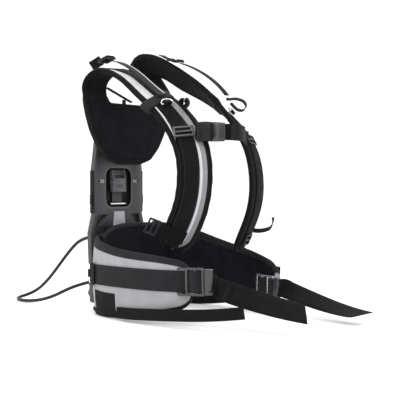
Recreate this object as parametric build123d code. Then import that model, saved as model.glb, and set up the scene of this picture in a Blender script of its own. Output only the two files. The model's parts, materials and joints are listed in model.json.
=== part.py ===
"""Backpack carrying harness for a powered unit: plate, sliding yoke, shoulder straps, hip belt and cable.

Frame: millimetres, +Z up, the wearer faces -Y and the wearer's right side is -X.
The origin is the centre of the four threaded inserts on the rear face of the back plate.
"""

import math
import os

from build123d import *

# ---------------------------------------------------------------- driving dimensions
FLOOR_Z = -300.0  # what the harness stands on
GAP = 0.5  # clearance between soft pieces that lie on each other

PLATE_TOP = 218.0
PLATE_BOTTOM = -284.0
PLATE_HALF_TOP = 68.0
PLATE_HALF_MIDDLE = 90.0
PLATE_HALF_BOTTOM = 103.0
PANEL_THICKNESS = 4.0
PLATE_DEPTH = 14.0
RIM_WALL = 4.0
POCKET_WALL = 2.0
TRIM_WIDTH = 3.0
BOLT_SPACING_X = 130.0
BOLT_SPACING_Z = 220.0
INSERT_BORE = 6.0
INSERT_OUTER = 9.0
BOSS_OUTER = 18.0

WINDOW_WIDTH = 96.0
WINDOW_HEIGHT = 104.0
WINDOW_Z = 20.0
WINDOW_CORNER = 22.0
TRAY_WALL = 2.5
GUIDE_BAR_LENGTH = 58.0
GUIDE_BAR_LUG = 4.0
GUIDE_BAR_Z = -24.0

TORSO_UP = 35.0  # travel of the yoke for a longer back
TORSO_DOWN = 25.0
RUNNER_WIDTH = 12.0
RUNNER_HEIGHT = 40.0
RUNNER_CLEARANCE = 0.3
CARRIAGE_Z = 152.0
CARRIAGE_WIDTH = 96.0
CARRIAGE_HEIGHT = 128.0
CARRIAGE_THICKNESS = 8.0
STAND_OFF = 16.0

YOKE_HALF_WIDTH = 156.0
YOKE_BOTTOM = 82.0
YOKE_TOP = 262.0
YOKE_THICKNESS = 20.0
NECK_HALF_WIDTH = 86.0
NECK_Z = 240.0

PAD_WIDTH = 80.0
PAD_THICKNESS = 13.0
WEB_THICKNESS = 1.8
STRAP_WEB = 38.0  # shoulder and chest webbing
WAIST_WEB = 50.0
LIFTER_WEB = 25.0

LUMBAR_THICKNESS = 22.0
LUMBAR_TOP = -74.0
LUMBAR_HALF = 92.0
WING_THICKNESS = 18.0

CAM_WIDTH = 40.0
CAM_CHEEK = 3.5
CAM_PIN_RADIUS = 2.5
CAM_PIN_Y = -13.5
CAM_PIN_Z = 40.0
PIN_CLEARANCE = 0.06

RING_WIRE = 3.2
BELT_RING_WIDTH = 46.0
STRAP_RING_WIDTH = 30.0
TAB_WIDTH = 20.0
TAB_DEPTH = 9.0

WAIST_LOCK_LENGTH = 66.0
COUPLER_LENGTH = 20.0

BUCKLE_LENGTH = 44.0
BUCKLE_HEIGHT = 44.0
BUCKLE_THICKNESS = 13.0
BUCKLE_WALL = 2.2
PRONG_CLEARANCE = 0.6
CHEST_HEADING = (0.62, -0.785, -0.02)  # direction of the chest strap beside the right strap
SLIDER_HALF = STRAP_WEB / 2 + 6.0
SLIDER_LENGTH = 28.0
SLIDER_TURN = {"right": -15.0, "left": 0.0}  # how far each frame is turned on its strap
FEMALE_START = SLIDER_HALF + 6.0  # distances along the chest strap from the right strap's middle
MALE_START = FEMALE_START + BUCKLE_LENGTH + 0.4
MALE_BASE = 20.0

CABLE_DIAMETER = 9.0
FITTING_RADIUS = 10.0

KNOB_X = -78.0
KNOB_Z = -258.0
KNOB_DIAMETER = 24.0
KNOB_HEIGHT = 12.0
KNOB_SHAFT_RADIUS = 4.0
KNOB_GROOVES = 12
KNOB_BORE_DEPTH = 9.0

# ---------------------------------------------------------------- routes of the straps
RIGHT_STRAP = [
    (-125, -52, 264), (-122, -58, 296), (-113, -88, 316), (-106, -132, 308), (-106, -182, 282),
    (-112, -241, 246), (-118, -296, 212), (-123, -345, 168), (-129, -384, 110), (-131, -394, 45),
    (-128, -380, -20), (-121, -344, -80), (-114, -306, -124),
]
LEFT_STRAP = [
    (124, -48, 266), (120, -26, 296), (114, -6, 326), (108, -12, 350), (106, -48, 354),
    (106, -94, 337), (107, -140, 312), (110, -197, 281), (113, -250, 246), (118, -294, 208),
    (124, -332, 166), (128, -364, 112), (130, -378, 50),
    (128, -376, -20), (121, -356, -85), (114, -330, -140),
]
RIGHT_TWIST = [(0.0, 0.0), (0.22, 6.0), (0.45, 26.0), (0.62, 44.0), (0.85, 46.0), (1.0, 40.0)]
LEFT_TWIST = [(0.0, -14.0), (0.1, -42.0), (0.3, -48.0), (0.44, -36.0), (0.6, -16.0), (1.0, -14.0)]

# places along each strap, as shares of its length
KEEPER_U = {"right": 0.39, "left": 0.47}
RING_U = {"right": 0.435, "left": 0.53}
WEB_START_U = {"right": 0.5, "left": 0.53}
CHEST_U = {"right": 0.572, "left": 0.64}
LOWER_U = {"right": 0.935, "left": 0.955}
WEB_SHIFT = {"right": -8.0, "left": 0.0}  # the webbing's place across the strap
CHEST_LIFT = {"right": 13.5, "left": 4.5}  # how far the chest strap's frame stands off the webbing
KEEPER_SLACK = {"right": 14.0, "left": 1.0}  # how far the keeper hangs out past the pad
LOWER_TAB_REACH = 52.0  # how far the lower tab stands out beside the middle of the right strap

RIGHT_LIFTER = [(-105, -96, 343), (-106, -140, 331), (-110, -205, 294), (-117, -280, 245)]
LEFT_LIFTER = [(82, -168, 349), (92, -212, 330), (106, -254, 301), (118, -292, 260)]
LIFTER_LOCK_TILT = {"right": 24.0, "left": 8.0}

WING_PLAN = [(94, -50), (136, -70), (165, -125), (180, -205), (186, -305), (168, -418)]
WING_TOP = {  # heights at the points of the plan
    "right": [-98, -106, -118, -130, -137, -154],
    "left": [-73, -80, -92, -116, -142, -176],
}
WING_BOTTOM = {
    "right": [-298, -300, -299, -293, -277, -250],
    "left": [-298, -300, -300, -294, -278, -256],
}
WING_WEB_Z = {
    "right": [-196, -196, -195, -194, -193, -191],
    "left": [-196, -197, -198, -200, -204, -208],
}

RIGHT_TAIL = [(-155, -492, -206), (-142, -555, -222), (-134, -630, -236), (-124, -713, -247)]
LEFT_TAIL = [(150, -446, -232), (145, -512, -248), (136, -600, -266), (120, -704, -275)]
BOTTOM_STRAP = [
    (-190, -200, -280), (-198, -285, -276), (-201, -365, -270), (-195, -448, -264), (-182, -518, -257),
    (-168, -568, -250),
]
ADJUSTER_WEB_Z = (53.0, -19.0)

CABLE_ROUTE = [
    (-80, 18, -112), (-79, 54, -120), (-76, 94, -148), (-72, 136, -184), (-67, 178, -220),
    (-62, 218, -250), (-60, 254, -272), (-68, 284, -286), (-88, 296, -292), (-108, 284, -294),
    (-118, 252, -295), (-119, 212, -294), (-114, 168, -287), (-108, 126, -274), (-100, 88, -256),
    (-90, 52, -241), (-80, 20, -232),
]

Y_PANEL = -PLATE_DEPTH  # front face of the plate
CARRIAGE_REAR = Y_PANEL - 2.0
CARRIAGE_FRONT = CARRIAGE_REAR - CARRIAGE_THICKNESS
YOKE_REAR = CARRIAGE_FRONT - STAND_OFF


# ---------------------------------------------------------------- helpers
def save(shape, name):
    """Write one sub-part."""
    export_step(shape, f"parts/{name}.step")


def slab(sketch, y_rear, thickness):
    """Extrude a sketch drawn in X and Z forward, towards -Y, from its rear face."""
    return extrude(Plane.XZ.offset(-y_rear) * sketch, thickness)


def unit(vector):
    return vector.normalized()


def twist_at(table, u):
    """The twist at a share of the ribbon's length, from a short table."""
    for (u0, a0), (u1, a1) in zip(table, table[1:]):
        if u <= u1:
            return a0 + (a1 - a0) * (u - u0) / (u1 - u0)
    return table[-1][1]


def strap_place(route, twist, u, lift=0.0):
    """A plane across a shoulder strap: x along its width, y outward from the wearer, z along it."""
    curve = Spline(*[Vector(*p) for p in route])
    along = unit(curve % u)
    flat = unit(along.cross(Vector(1, 0, 0)))
    side = unit(flat.cross(along))
    angle = math.radians(twist_at(twist, u))
    outward = unit(flat * math.cos(angle) - side * math.sin(angle))
    width = unit(outward.cross(along))
    return Plane(origin=(curve @ u) + outward * lift, x_dir=width, z_dir=along)


def upright_place(route, u, lift=0.0, lean=0.0):
    """A plane across a band that runs level with its width upright: y is outward from the harness."""
    curve = Spline(*[Vector(*p) for p in route])
    along = unit(curve % u)
    outward = unit(Vector(0, 0, 1).cross(along))
    if outward.X * (curve @ u).X < 0:
        outward = outward * -1
    upright = unit(along.cross(outward))
    angle = math.radians(lean)
    across = unit(upright * math.cos(angle) + outward * math.sin(angle))
    return Plane(origin=(curve @ u) + outward * lift, x_dir=across, z_dir=along)


def shifted(place, across):
    """The same plane moved along its x."""
    return Plane(origin=place.origin + place.x_dir * across, x_dir=place.x_dir, z_dir=place.z_dir)


def ribbon(places, width, thickness):
    """Join equal rectangles on a row of planes into one band."""
    return loft([(place * Rectangle(width, thickness)).face() for place in places], ruled=True)


def steps(start, end, count):
    return [start + (end - start) * i / count for i in range(count + 1)]


def strap_band(route, twist, start, end, count, width, thickness, lift=0.0):
    places = [strap_place(route, twist, u, lift) for u in steps(start, end, count)]
    return ribbon(places, width, thickness)


def ring_across(place, width, thickness, wall, length):
    """A flat sleeve round a strap, with the strap's section as its hole."""
    outer = Rectangle(width + 2 * wall, thickness + 2 * wall)
    return extrude(place * (outer - Rectangle(width, thickness)), length / 2, both=True)


def ladder_lock(place, width, length, bars, frame=4.0, thickness=4.0):
    """A ladder lock: x across the webbing, y out of the frame, z along the webbing."""
    outer = RectangleRounded(width + 2 * frame, length, 3.0)
    gap = (length - frame * (bars + 1)) / bars
    for i in range(bars):
        centre = -length / 2 + frame + gap / 2 + i * (gap + frame)
        outer -= Pos(0, centre) * Rectangle(width, gap)
    flat = Plane(origin=place.origin, x_dir=place.x_dir, z_dir=place.y_dir)
    return extrude(flat * outer, thickness / 2, both=True)


def d_ring(place, width, wire):
    """A D ring whose bar runs along the place's x; the bow points along its z."""
    radius = width / 2
    bow = revolve(Plane.XZ * Pos(radius, 0) * Circle(wire / 2), Axis.Z, 180)
    bar = Rot(0, 90, 0) * Cylinder(wire / 2, width)
    standing = Plane(origin=place.origin, x_dir=place.x_dir, z_dir=place.y_dir)
    return standing.location * (bow + bar)


# ---------------------------------------------------------------- back plate
def plate_outline():
    half = [
        (PLATE_HALF_TOP, PLATE_TOP), (PLATE_HALF_TOP + 10, 150), (PLATE_HALF_MIDDLE, 70),
        (PLATE_HALF_MIDDLE, -52), (PLATE_HALF_BOTTOM, -100), (PLATE_HALF_BOTTOM - 8, PLATE_BOTTOM),
    ]
    points = half + [(-x, z) for x, z in reversed(half)]
    return fillet(make_face(Polyline(*points, close=True)).vertices(), 9.0)


def bolt_places():
    return [
        (sx * BOLT_SPACING_X / 2, sz * BOLT_SPACING_Z / 2) for sx in (-1, 1) for sz in (-1, 1)
    ]


def slot_half():
    return RUNNER_HEIGHT / 2 + max(TORSO_UP, TORSO_DOWN) + 3.0


def back_plate():
    outline = plate_outline()
    hollow = PLATE_DEPTH - PANEL_THICKNESS
    plate = slab(outline, 0, PLATE_DEPTH) - slab(offset(outline, -RIM_WALL), 0, hollow)
    for x, z in bolt_places():
        plate += slab(Pos(x, z) * Circle(BOSS_OUTER / 2), 0, hollow)
    for x in (-1, 1):
        rib = slab(Pos(x * 38, -190) * Rectangle(3, 150), -2, hollow - 2)
        plate += rib
        corner = make_face(Polyline((x * 40, -52), (x * 78, -52), (x * 88, -96), close=True))
        plate += slab(offset(corner, POCKET_WALL), 0, hollow)
        plate -= slab(corner, -POCKET_WALL, PLATE_DEPTH)
    for x, z in bolt_places():
        plate -= slab(Pos(x, z) * Circle(INSERT_OUTER / 2), 0, PLATE_DEPTH)
    window = RectangleRounded(WINDOW_WIDTH, WINDOW_HEIGHT, WINDOW_CORNER)
    plate -= slab(Pos(0, WINDOW_Z) * window, 0, PLATE_DEPTH)
    slot = Rectangle(RUNNER_WIDTH + 2 * RUNNER_CLEARANCE, 2 * slot_half())
    return plate - slab(Pos(0, CARRIAGE_Z) * slot, 0, PLATE_DEPTH)


def mount_inserts():
    ring = Circle(INSERT_OUTER / 2) - Circle(INSERT_BORE / 2)
    return Compound([slab(Pos(x, z) * ring, 0, PLATE_DEPTH) for x, z in bolt_places()])


def adjuster_tray():
    depth = PLATE_DEPTH - PANEL_THICKNESS
    inner = RectangleRounded(WINDOW_WIDTH, WINDOW_HEIGHT, WINDOW_CORNER)
    outer = offset(inner, TRAY_WALL)
    tray = slab(Pos(0, WINDOW_Z) * outer, 0, depth)
    tray -= slab(Pos(0, WINDOW_Z) * inner, -TRAY_WALL, depth)
    for x in (-1, 1):
        lug = Rectangle(GUIDE_BAR_LUG, 12)
        centre = x * (GUIDE_BAR_LENGTH + GUIDE_BAR_LUG) / 2
        tray += slab(Pos(centre, GUIDE_BAR_Z) * lug, -TRAY_WALL + 0.5, PLATE_DEPTH - TRAY_WALL)
    return tray


def edge_trims():
    """The black strips that lie along both sides of the plate."""
    strip = RectangleRounded(TRIM_WIDTH, 112, TRIM_WIDTH / 2 - 0.1)
    x = PLATE_HALF_MIDDLE + TRIM_WIDTH / 2
    return Compound([slab(Pos(side * x, 9) * strip, 0, PLATE_DEPTH) for side in (-1, 1)])


# ---------------------------------------------------------------- torso adjuster
def cam_base():
    cheek = Polyline((-14, 68), (-14, 56), (-18, 50), (-18, 8), (-7, 8), (-3, 30), (-3, 68), close=True)
    side_plane = Plane(origin=(0, 0, 0), x_dir=(0, 1, 0), z_dir=(1, 0, 0))
    cheek_solid = extrude(side_plane * make_face(cheek), CAM_CHEEK)
    offset_x = CAM_WIDTH / 2 + PIN_CLEARANCE + 0.4
    base = Pos(offset_x, 0, 0) * cheek_solid + Pos(-offset_x - CAM_CHEEK, 0, 0) * cheek_solid
    base += Pos(0, -5, 61) * Box(2 * offset_x + 2, 4, 14)
    hole = Pos(0, CAM_PIN_Y, CAM_PIN_Z) * Rot(0, 90, 0) * Cylinder(CAM_PIN_RADIUS, 3 * CAM_WIDTH)
    return base - hole


def cam_pin():
    length = CAM_WIDTH + 2 * (PIN_CLEARANCE + 0.4 + CAM_CHEEK)
    return Pos(0, CAM_PIN_Y, CAM_PIN_Z) * Rot(0, 90, 0) * Cylinder(CAM_PIN_RADIUS, length)


def cam_lever():
    lever = Pos(0, -15, 27) * Box(CAM_WIDTH, 5, 36)
    lever += Pos(0, CAM_PIN_Y, CAM_PIN_Z) * Rot(0, 90, 0) * Cylinder(5, CAM_WIDTH)
    for x in (-9, 0, 9):
        lever -= Pos(x, -15, 24) * Box(3, 6, 9)
    lever -= Pos(0, CAM_PIN_Y, CAM_PIN_Z) * Rot(0, 90, 0) * Cylinder(CAM_PIN_RADIUS + PIN_CLEARANCE, 60)
    return lever


def adjuster_webbing():
    top, bottom = ADJUSTER_WEB_Z
    return Pos(0, -6.2, (top + bottom) / 2) * Box(STRAP_WEB - 2, WEB_THICKNESS, top - bottom)


def guide_bar():
    return Pos(0, -9, GUIDE_BAR_Z) * Rot(0, 90, 0) * Cylinder(3.2, GUIDE_BAR_LENGTH)


# ---------------------------------------------------------------- yoke
def yoke_carriage():
    outline = RectangleRounded(CARRIAGE_WIDTH, CARRIAGE_HEIGHT, 12)
    body = slab(Pos(0, CARRIAGE_Z) * outline, CARRIAGE_REAR, CARRIAGE_THICKNESS)
    neck_depth = CARRIAGE_REAR - (Y_PANEL + PANEL_THICKNESS + 1.0)
    runner = slab(Pos(0, CARRIAGE_Z) * Rectangle(RUNNER_WIDTH, RUNNER_HEIGHT), CARRIAGE_REAR - neck_depth,
                  -neck_depth)
    head = slab(Pos(0, CARRIAGE_Z) * Rectangle(RUNNER_WIDTH + 14, RUNNER_HEIGHT - 4),
                Y_PANEL + PANEL_THICKNESS + 4.0, 3.0)
    carriage = body + runner + head
    for x in (-32, 32):
        for z in (-42, 42):
            carriage += slab(Pos(x, CARRIAGE_Z + z) * Circle(9), CARRIAGE_FRONT, STAND_OFF)
    return carriage


def yoke_pad():
    lower = [(36, YOKE_BOTTOM), (78, 95), (110, 128), (134, 168), (148, 208)]
    upper = [(YOKE_HALF_WIDTH, 240), (YOKE_HALF_WIDTH, YOKE_TOP), (NECK_HALF_WIDTH + 4, YOKE_TOP)]
    half = lower + upper + [(NECK_HALF_WIDTH - 10, NECK_Z)]
    points = half + [(-x, z) for x, z in reversed(half)]
    outline = fillet(make_face(Polyline(*points, close=True)).vertices(), 9.0)
    return slab(outline, YOKE_REAR, YOKE_THICKNESS)


def haul_strap():
    y = YOKE_REAR - YOKE_THICKNESS / 2
    start, end = Vector(-80, y, 280), Vector(12, y, NECK_Z + 8)
    along = unit(end - start)
    place = Plane(origin=start, x_dir=(0, 1, 0), z_dir=along)
    return extrude(place * Rectangle(10, 3), (end - start).length)


def yoke_post():
    y = YOKE_REAR - YOKE_THICKNESS / 2
    return Pos(-16, y, NECK_Z + 6 + GAP) * (Cylinder(5, 12) - Cylinder(2.6, 12))


# ---------------------------------------------------------------- shoulder straps
STRAPS = {
    "right": (RIGHT_STRAP, RIGHT_TWIST),
    "left": (LEFT_STRAP, LEFT_TWIST),
}
WEB_LIFT = PAD_THICKNESS / 2 + GAP + WEB_THICKNESS / 2


def pad(side):
    route, twist = STRAPS[side]
    return strap_band(route, twist, 0.005, 1.0, 22, PAD_WIDTH, PAD_THICKNESS)


def strap_webbing(side):
    route, twist = STRAPS[side]
    places = [strap_place(route, twist, u, WEB_LIFT) for u in steps(WEB_START_U[side], 0.985, 14)]
    return ribbon([shifted(place, WEB_SHIFT[side]) for place in places], STRAP_WEB, WEB_THICKNESS)


def keeper(side):
    route, twist = STRAPS[side]
    slack = KEEPER_SLACK[side]
    place = shifted(strap_place(route, twist, KEEPER_U[side]), -slack / 2)
    return ring_across(place, PAD_WIDTH + 3 + slack, PAD_THICKNESS + 4, 1.6, 24)


def strap_ring_place(side):
    route, twist = STRAPS[side]
    return strap_place(route, twist, RING_U[side], PAD_THICKNESS / 2 + 9.0)


def strap_ring(side):
    """The wire D ring that stands on the outer face of the strap."""
    return d_ring(strap_ring_place(side), STRAP_RING_WIDTH, RING_WIRE)


def ring_tab(place):
    """The sewn sleeve that holds a D ring's bar and leaves its bow free."""
    sleeve = extrude(place * Rectangle(TAB_WIDTH, TAB_DEPTH), TAB_DEPTH / 2, both=True)
    bar = Plane(origin=place.origin, x_dir=place.z_dir, z_dir=place.x_dir)
    return sleeve - extrude(bar * Circle(RING_WIRE / 2 + PIN_CLEARANCE), TAB_WIDTH, both=True)


def lifter_webbing(side):
    route = RIGHT_LIFTER if side == "right" else LEFT_LIFTER
    twist = [(0.0, 0.0), (1.0, 12.0 if side == "right" else -6.0)]
    return strap_band(route, twist, 0.0, 1.0, 6, LIFTER_WEB, WEB_THICKNESS)


def lifter_place(side, lift=0.0):
    route = RIGHT_LIFTER if side == "right" else LEFT_LIFTER
    return strap_place(route, [(0.0, 0.0), (1.0, 0.0)], 0.0, lift)


def lifter_lock(side):
    """The ladder lock behind the load lifter, standing at an angle to its webbing."""
    place = lifter_place(side)
    angle = math.radians(LIFTER_LOCK_TILT[side])
    along = place.z_dir * math.cos(angle) + place.y_dir * math.sin(angle)
    origin = place.origin - place.z_dir * 21.0 + place.y_dir * 2.0
    back = Plane(origin=origin, x_dir=place.x_dir, z_dir=along)
    return ladder_lock(back, LIFTER_WEB + 2, 34, 2, 4.5, 6.0)


def lifter_tail(side):
    """The free end of the load lifter behind its ladder lock."""
    place = lifter_place(side)
    start = place.origin - place.z_dir * 40.0
    right = side == "right"
    drop = unit(Vector(0, 1, -0.2 if right else 0.5))
    across = Vector(-0.45, 0, 0.9) if right else Vector(1, 0, 0)
    tail = Plane(origin=start, x_dir=unit(across - drop * across.dot(drop)), z_dir=drop)
    return extrude(tail * Rectangle(LIFTER_WEB, WEB_THICKNESS), 34)


def chest_slider(side):
    """The frame that runs up and down the strap's webbing and carries the chest strap."""
    place = chest_place(side)
    turn = math.radians(SLIDER_TURN[side])
    along = place.z_dir * math.cos(turn) + place.x_dir * math.sin(turn)
    across = place.x_dir * math.cos(turn) - place.z_dir * math.sin(turn)
    turned = Plane(origin=place.origin, x_dir=across, z_dir=along)
    return ladder_lock(turned, STRAP_WEB + 2, SLIDER_LENGTH, 2, 4.5, 4.0)


def chest_place(side):
    route, twist = STRAPS[side]
    lifted = strap_place(route, twist, CHEST_U[side], WEB_LIFT + CHEST_LIFT[side])
    return shifted(lifted, WEB_SHIFT[side])


def buckle_place(distance):
    """A plane across the chest strap beside the right strap: z along the chest strap, x upward."""
    start = chest_place("right").origin
    along = unit(Vector(*CHEST_HEADING))
    up = unit(Vector(0, 0, 1) - along * along.Z)
    return Plane(origin=start + along * distance, x_dir=up, z_dir=along)


def chest_webbing_right():
    start = SLIDER_HALF + 4.0
    return extrude(buckle_place(start) * Rectangle(STRAP_WEB, WEB_THICKNESS), FEMALE_START + 7.0 - start)


def chest_webbing_left():
    """From the male half of the buckle in a forward bow to the left slider."""
    start = buckle_place(MALE_START + MALE_BASE - 8.0).origin
    leave = buckle_place(MALE_START + MALE_BASE + 16.0).origin
    end = chest_place("left").origin
    inner = end + Vector(-SLIDER_HALF - 4.0, -13.0, 0)
    middle = (leave + inner) / 2 + Vector(0, -14.0, 0)
    route = [tuple(point) for point in (start, leave, middle, inner)]
    places = [upright_place(route, u) for u in steps(0.0, 1.0, 10)]
    return ribbon(places, STRAP_WEB, WEB_THICKNESS)


def on_chest(distance, shape):
    """Place a shape modelled with z along the chest strap and x up at a distance from its start."""
    return buckle_place(distance).location * shape


def buckle_female():
    shell = Pos(0, 0, BUCKLE_LENGTH / 2) * Box(BUCKLE_HEIGHT, BUCKLE_THICKNESS, BUCKLE_LENGTH)
    shell = fillet(shell.edges().filter_by(Axis.Z), 4.0)
    cavity_length = BUCKLE_LENGTH - 8.0
    cavity = Box(BUCKLE_HEIGHT - 2 * BUCKLE_WALL, BUCKLE_THICKNESS - 2 * BUCKLE_WALL, cavity_length)
    shell -= Pos(0, 0, BUCKLE_LENGTH - cavity_length / 2) * cavity
    for side in (-1, 1):
        window = Box(8, BUCKLE_THICKNESS - 2 * BUCKLE_WALL, 20)
        shell -= Pos(side * BUCKLE_HEIGHT / 2, 0, BUCKLE_LENGTH - 22) * window
    shell -= Pos(0, 0, 4) * Box(STRAP_WEB + 0.6, WEB_THICKNESS + 0.6, 9)
    return shell


def buckle_male():
    base = Pos(0, 0, MALE_BASE / 2) * Box(BUCKLE_HEIGHT, BUCKLE_THICKNESS, MALE_BASE)
    base = fillet(base.edges().filter_by(Axis.Z), 4.0)
    base -= Pos(0, 0, MALE_BASE - 6) * Box(STRAP_WEB + 1.0, WEB_THICKNESS + 1.6, 13)
    tongue_height = BUCKLE_THICKNESS - 2 * BUCKLE_WALL - 2 * PRONG_CLEARANCE
    return base + Pos(0, 0, -15) * Box(10, tongue_height, 30.5)


def buckle_prong(side):
    """One springy arm of the male half, turning about its root."""
    tongue_height = BUCKLE_THICKNESS - 2 * BUCKLE_WALL - 2 * PRONG_CLEARANCE
    outer = BUCKLE_HEIGHT / 2 - BUCKLE_WALL - PRONG_CLEARANCE
    arm = Pos(side * (outer - 3.0), 0, -15.4) * Box(6.0, tongue_height, 29.6)
    return arm


# ---------------------------------------------------------------- lower strap ends
def lower_place(side, lift):
    route, twist = STRAPS[side]
    return strap_place(route, twist, LOWER_U[side], WEB_LIFT + lift)


def lower_lock_right():
    """The ladder lock at the free end of the lower tab, beside the strap."""
    place = shifted(lower_place("right", 2.4), -LOWER_TAB_REACH - 16.5)
    turned = Plane(origin=place.origin, x_dir=place.z_dir, z_dir=place.x_dir)
    return ladder_lock(turned, STRAP_WEB, 30, 2, 4.0, 4.0)


def lower_lock_left():
    return ladder_lock(lower_place("left", 5.0), STRAP_WEB - 10, 30, 2, 4.0, 4.0)


def lower_webbing_right():
    """The tab across the strap's lower end, out to its ladder lock."""
    place = lower_place("right", 2.4)
    inner = 14.0
    middle = shifted(place, (inner - LOWER_TAB_REACH) / 2)
    return middle.location * Box(inner + LOWER_TAB_REACH, WEB_THICKNESS, STRAP_WEB)


def lower_webbing_left():
    """The free end of the left strap's lower webbing, standing forward of the pad."""
    route = [(121, -383, -88), (124, -404, -83), (123, -432, -76)]
    places = [upright_place(route, u) for u in steps(0.0, 1.0, 5)]
    return ribbon(places, STRAP_WEB, WEB_THICKNESS)


# ---------------------------------------------------------------- hip belt
def wing_sign(side):
    return -1 if side == "right" else 1


def wing_route(side, heights):
    """The wing's line in plan, with a height for each of its points."""
    return [(wing_sign(side) * x, y, z) for (x, y), z in zip(WING_PLAN, heights[side])]


def hip_wing(side):
    top, bottom = Spline(*wing_route(side, WING_TOP)), Spline(*wing_route(side, WING_BOTTOM))
    sections = []
    for u in steps(0.03, 1.0, 12):
        high, low = top @ u, bottom @ u
        low = Vector(high.X, high.Y, max(low.Z, FLOOR_Z))
        along = top % u
        along = unit(Vector(along.X, along.Y, 0))
        place = Plane(origin=(high + low) / 2, x_dir=(0, 0, 1), z_dir=along)
        sections.append((place * Rectangle(high.Z - low.Z, WING_THICKNESS)).face())
    return loft(sections, ruled=True)


def wing_webbing(side):
    route = wing_route(side, WING_WEB_Z)
    lift = WING_THICKNESS / 2 + 4 * GAP + WEB_THICKNESS / 2
    places = [upright_place(route, u, lift) for u in steps(0.06, 0.98, 12)]
    return ribbon(places, WAIST_WEB, WEB_THICKNESS)


def lumbar_pad():
    height = LUMBAR_TOP - FLOOR_Z
    front = Y_PANEL - 6.0
    return Pos(0, front - LUMBAR_THICKNESS / 2 - 4, FLOOR_Z + height / 2) * Box(
        2 * LUMBAR_HALF, LUMBAR_THICKNESS, height)


def lumbar_board():
    """The stiff board between the plate and the lumbar pad."""
    front = Y_PANEL - 0.3
    return slab(Pos(0, -192) * RectangleRounded(150, 160, 10), front, 9.2)


def tail_band(route, lean_start, lean_end):
    """A loose webbing end that leans over from its start to its end."""
    turn = lean_end - lean_start
    places = [upright_place(route, u, 0.0, lean_start + turn * u) for u in steps(0.0, 1.0, 8)]
    return ribbon(places, WAIST_WEB, WEB_THICKNESS)


def waist_lock_place(side):
    """The right lock sits outside the wing's tip; the left one has fallen inside it."""
    route = wing_route(side, WING_WEB_Z)
    if side == "right":
        place = upright_place(route, 1.0, WING_THICKNESS / 2 + 8.0)
        return Plane(origin=place.origin + place.z_dir * 3.0, x_dir=place.x_dir, z_dir=place.z_dir)
    place = upright_place(route, 0.93, -WING_THICKNESS / 2 - 10.0)
    return Plane(origin=place.origin + Vector(0, 0, -29), x_dir=place.x_dir, z_dir=place.z_dir)


def waist_lock(side):
    return ladder_lock(waist_lock_place(side), WAIST_WEB + 4, WAIST_LOCK_LENGTH, 3, 5.0, 5.0)


def waist_coupler(side):
    """The curved buckle half beyond the ladder lock, with a slot for the webbing."""
    centre = Pos(0, 0, (WAIST_LOCK_LENGTH + COUPLER_LENGTH) / 2 + 2.0)
    body = centre * Box(WAIST_WEB + 8, 13, COUPLER_LENGTH)
    body = fillet(body.edges().filter_by(Axis.X), 5.5)
    body -= centre * Box(WAIST_WEB + 1, 4, 2 * COUPLER_LENGTH)
    return waist_lock_place(side).location * body


def belt_ring_place(side):
    return upright_place(wing_route(side, WING_WEB_Z), 0.14, WING_THICKNESS / 2 + 9.0)


def belt_ring(side):
    return d_ring(belt_ring_place(side), BELT_RING_WIDTH, RING_WIRE)


def bottom_strap():
    places = [upright_place(BOTTOM_STRAP, u, 3.0) for u in steps(0.0, 1.0, 8)]
    return ribbon(places, LIFTER_WEB + 3, WEB_THICKNESS)


# ---------------------------------------------------------------- knob and cable
def knob_shaft():
    length = KNOB_BORE_DEPTH + PLATE_DEPTH - PANEL_THICKNESS
    return slab(Pos(KNOB_X, KNOB_Z) * Circle(KNOB_SHAFT_RADIUS), KNOB_BORE_DEPTH, length)


def tension_knob():
    """The grooved knob behind the plate, on a shaft that stands on the panel."""
    radius = KNOB_DIAMETER / 2
    rear = KNOB_HEIGHT + 1.0
    knob = slab(Pos(KNOB_X, KNOB_Z) * Circle(radius), rear, KNOB_HEIGHT)
    for i in range(KNOB_GROOVES):
        angle = 2 * math.pi * i / KNOB_GROOVES
        place = Pos(KNOB_X + radius * math.cos(angle), KNOB_Z + radius * math.sin(angle))
        knob -= slab(place * Circle(1.6), rear, KNOB_HEIGHT)
    bore = Pos(KNOB_X, KNOB_Z) * Circle(KNOB_SHAFT_RADIUS + PIN_CLEARANCE)
    return knob - slab(bore, KNOB_BORE_DEPTH + 0.1, KNOB_BORE_DEPTH + 0.1)


def cable_path():
    """Straight runs joined by tangent arcs, each as large as its two runs allow."""
    points = [Vector(*p) for p in CABLE_ROUTE]
    radii = []
    for before, here, after in zip(points, points[1:], points[2:]):
        turn = math.radians((here - before).get_angle(after - here))
        shorter = min((here - before).length, (after - here).length)
        radii.append(0.45 * shorter / math.tan(turn / 2))
    print("cable radii", [round(r) for r in radii])
    return FilletPolyline(*points, radius=radii)


def cable():
    path = cable_path()
    tube = sweep(Plane(origin=path @ 0, z_dir=path % 0) * Circle(CABLE_DIAMETER / 2), path=path)
    section = math.pi * CABLE_DIAMETER ** 2 / 4
    ratio = tube.volume / (section * path.length)
    print("cable length", round(path.length, 1), "volume ratio", round(ratio, 4))
    return tube


def cable_fitting(end):
    """A tapered sleeve from the rear of the plate to one end of the cable."""
    x, y, z = CABLE_ROUTE[end]
    place = Plane(origin=(x, 0, z), z_dir=(0, 1, 0))
    return Solid.make_cone(FITTING_RADIUS, CABLE_DIAMETER / 2 + 1.2, y, place)


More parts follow.
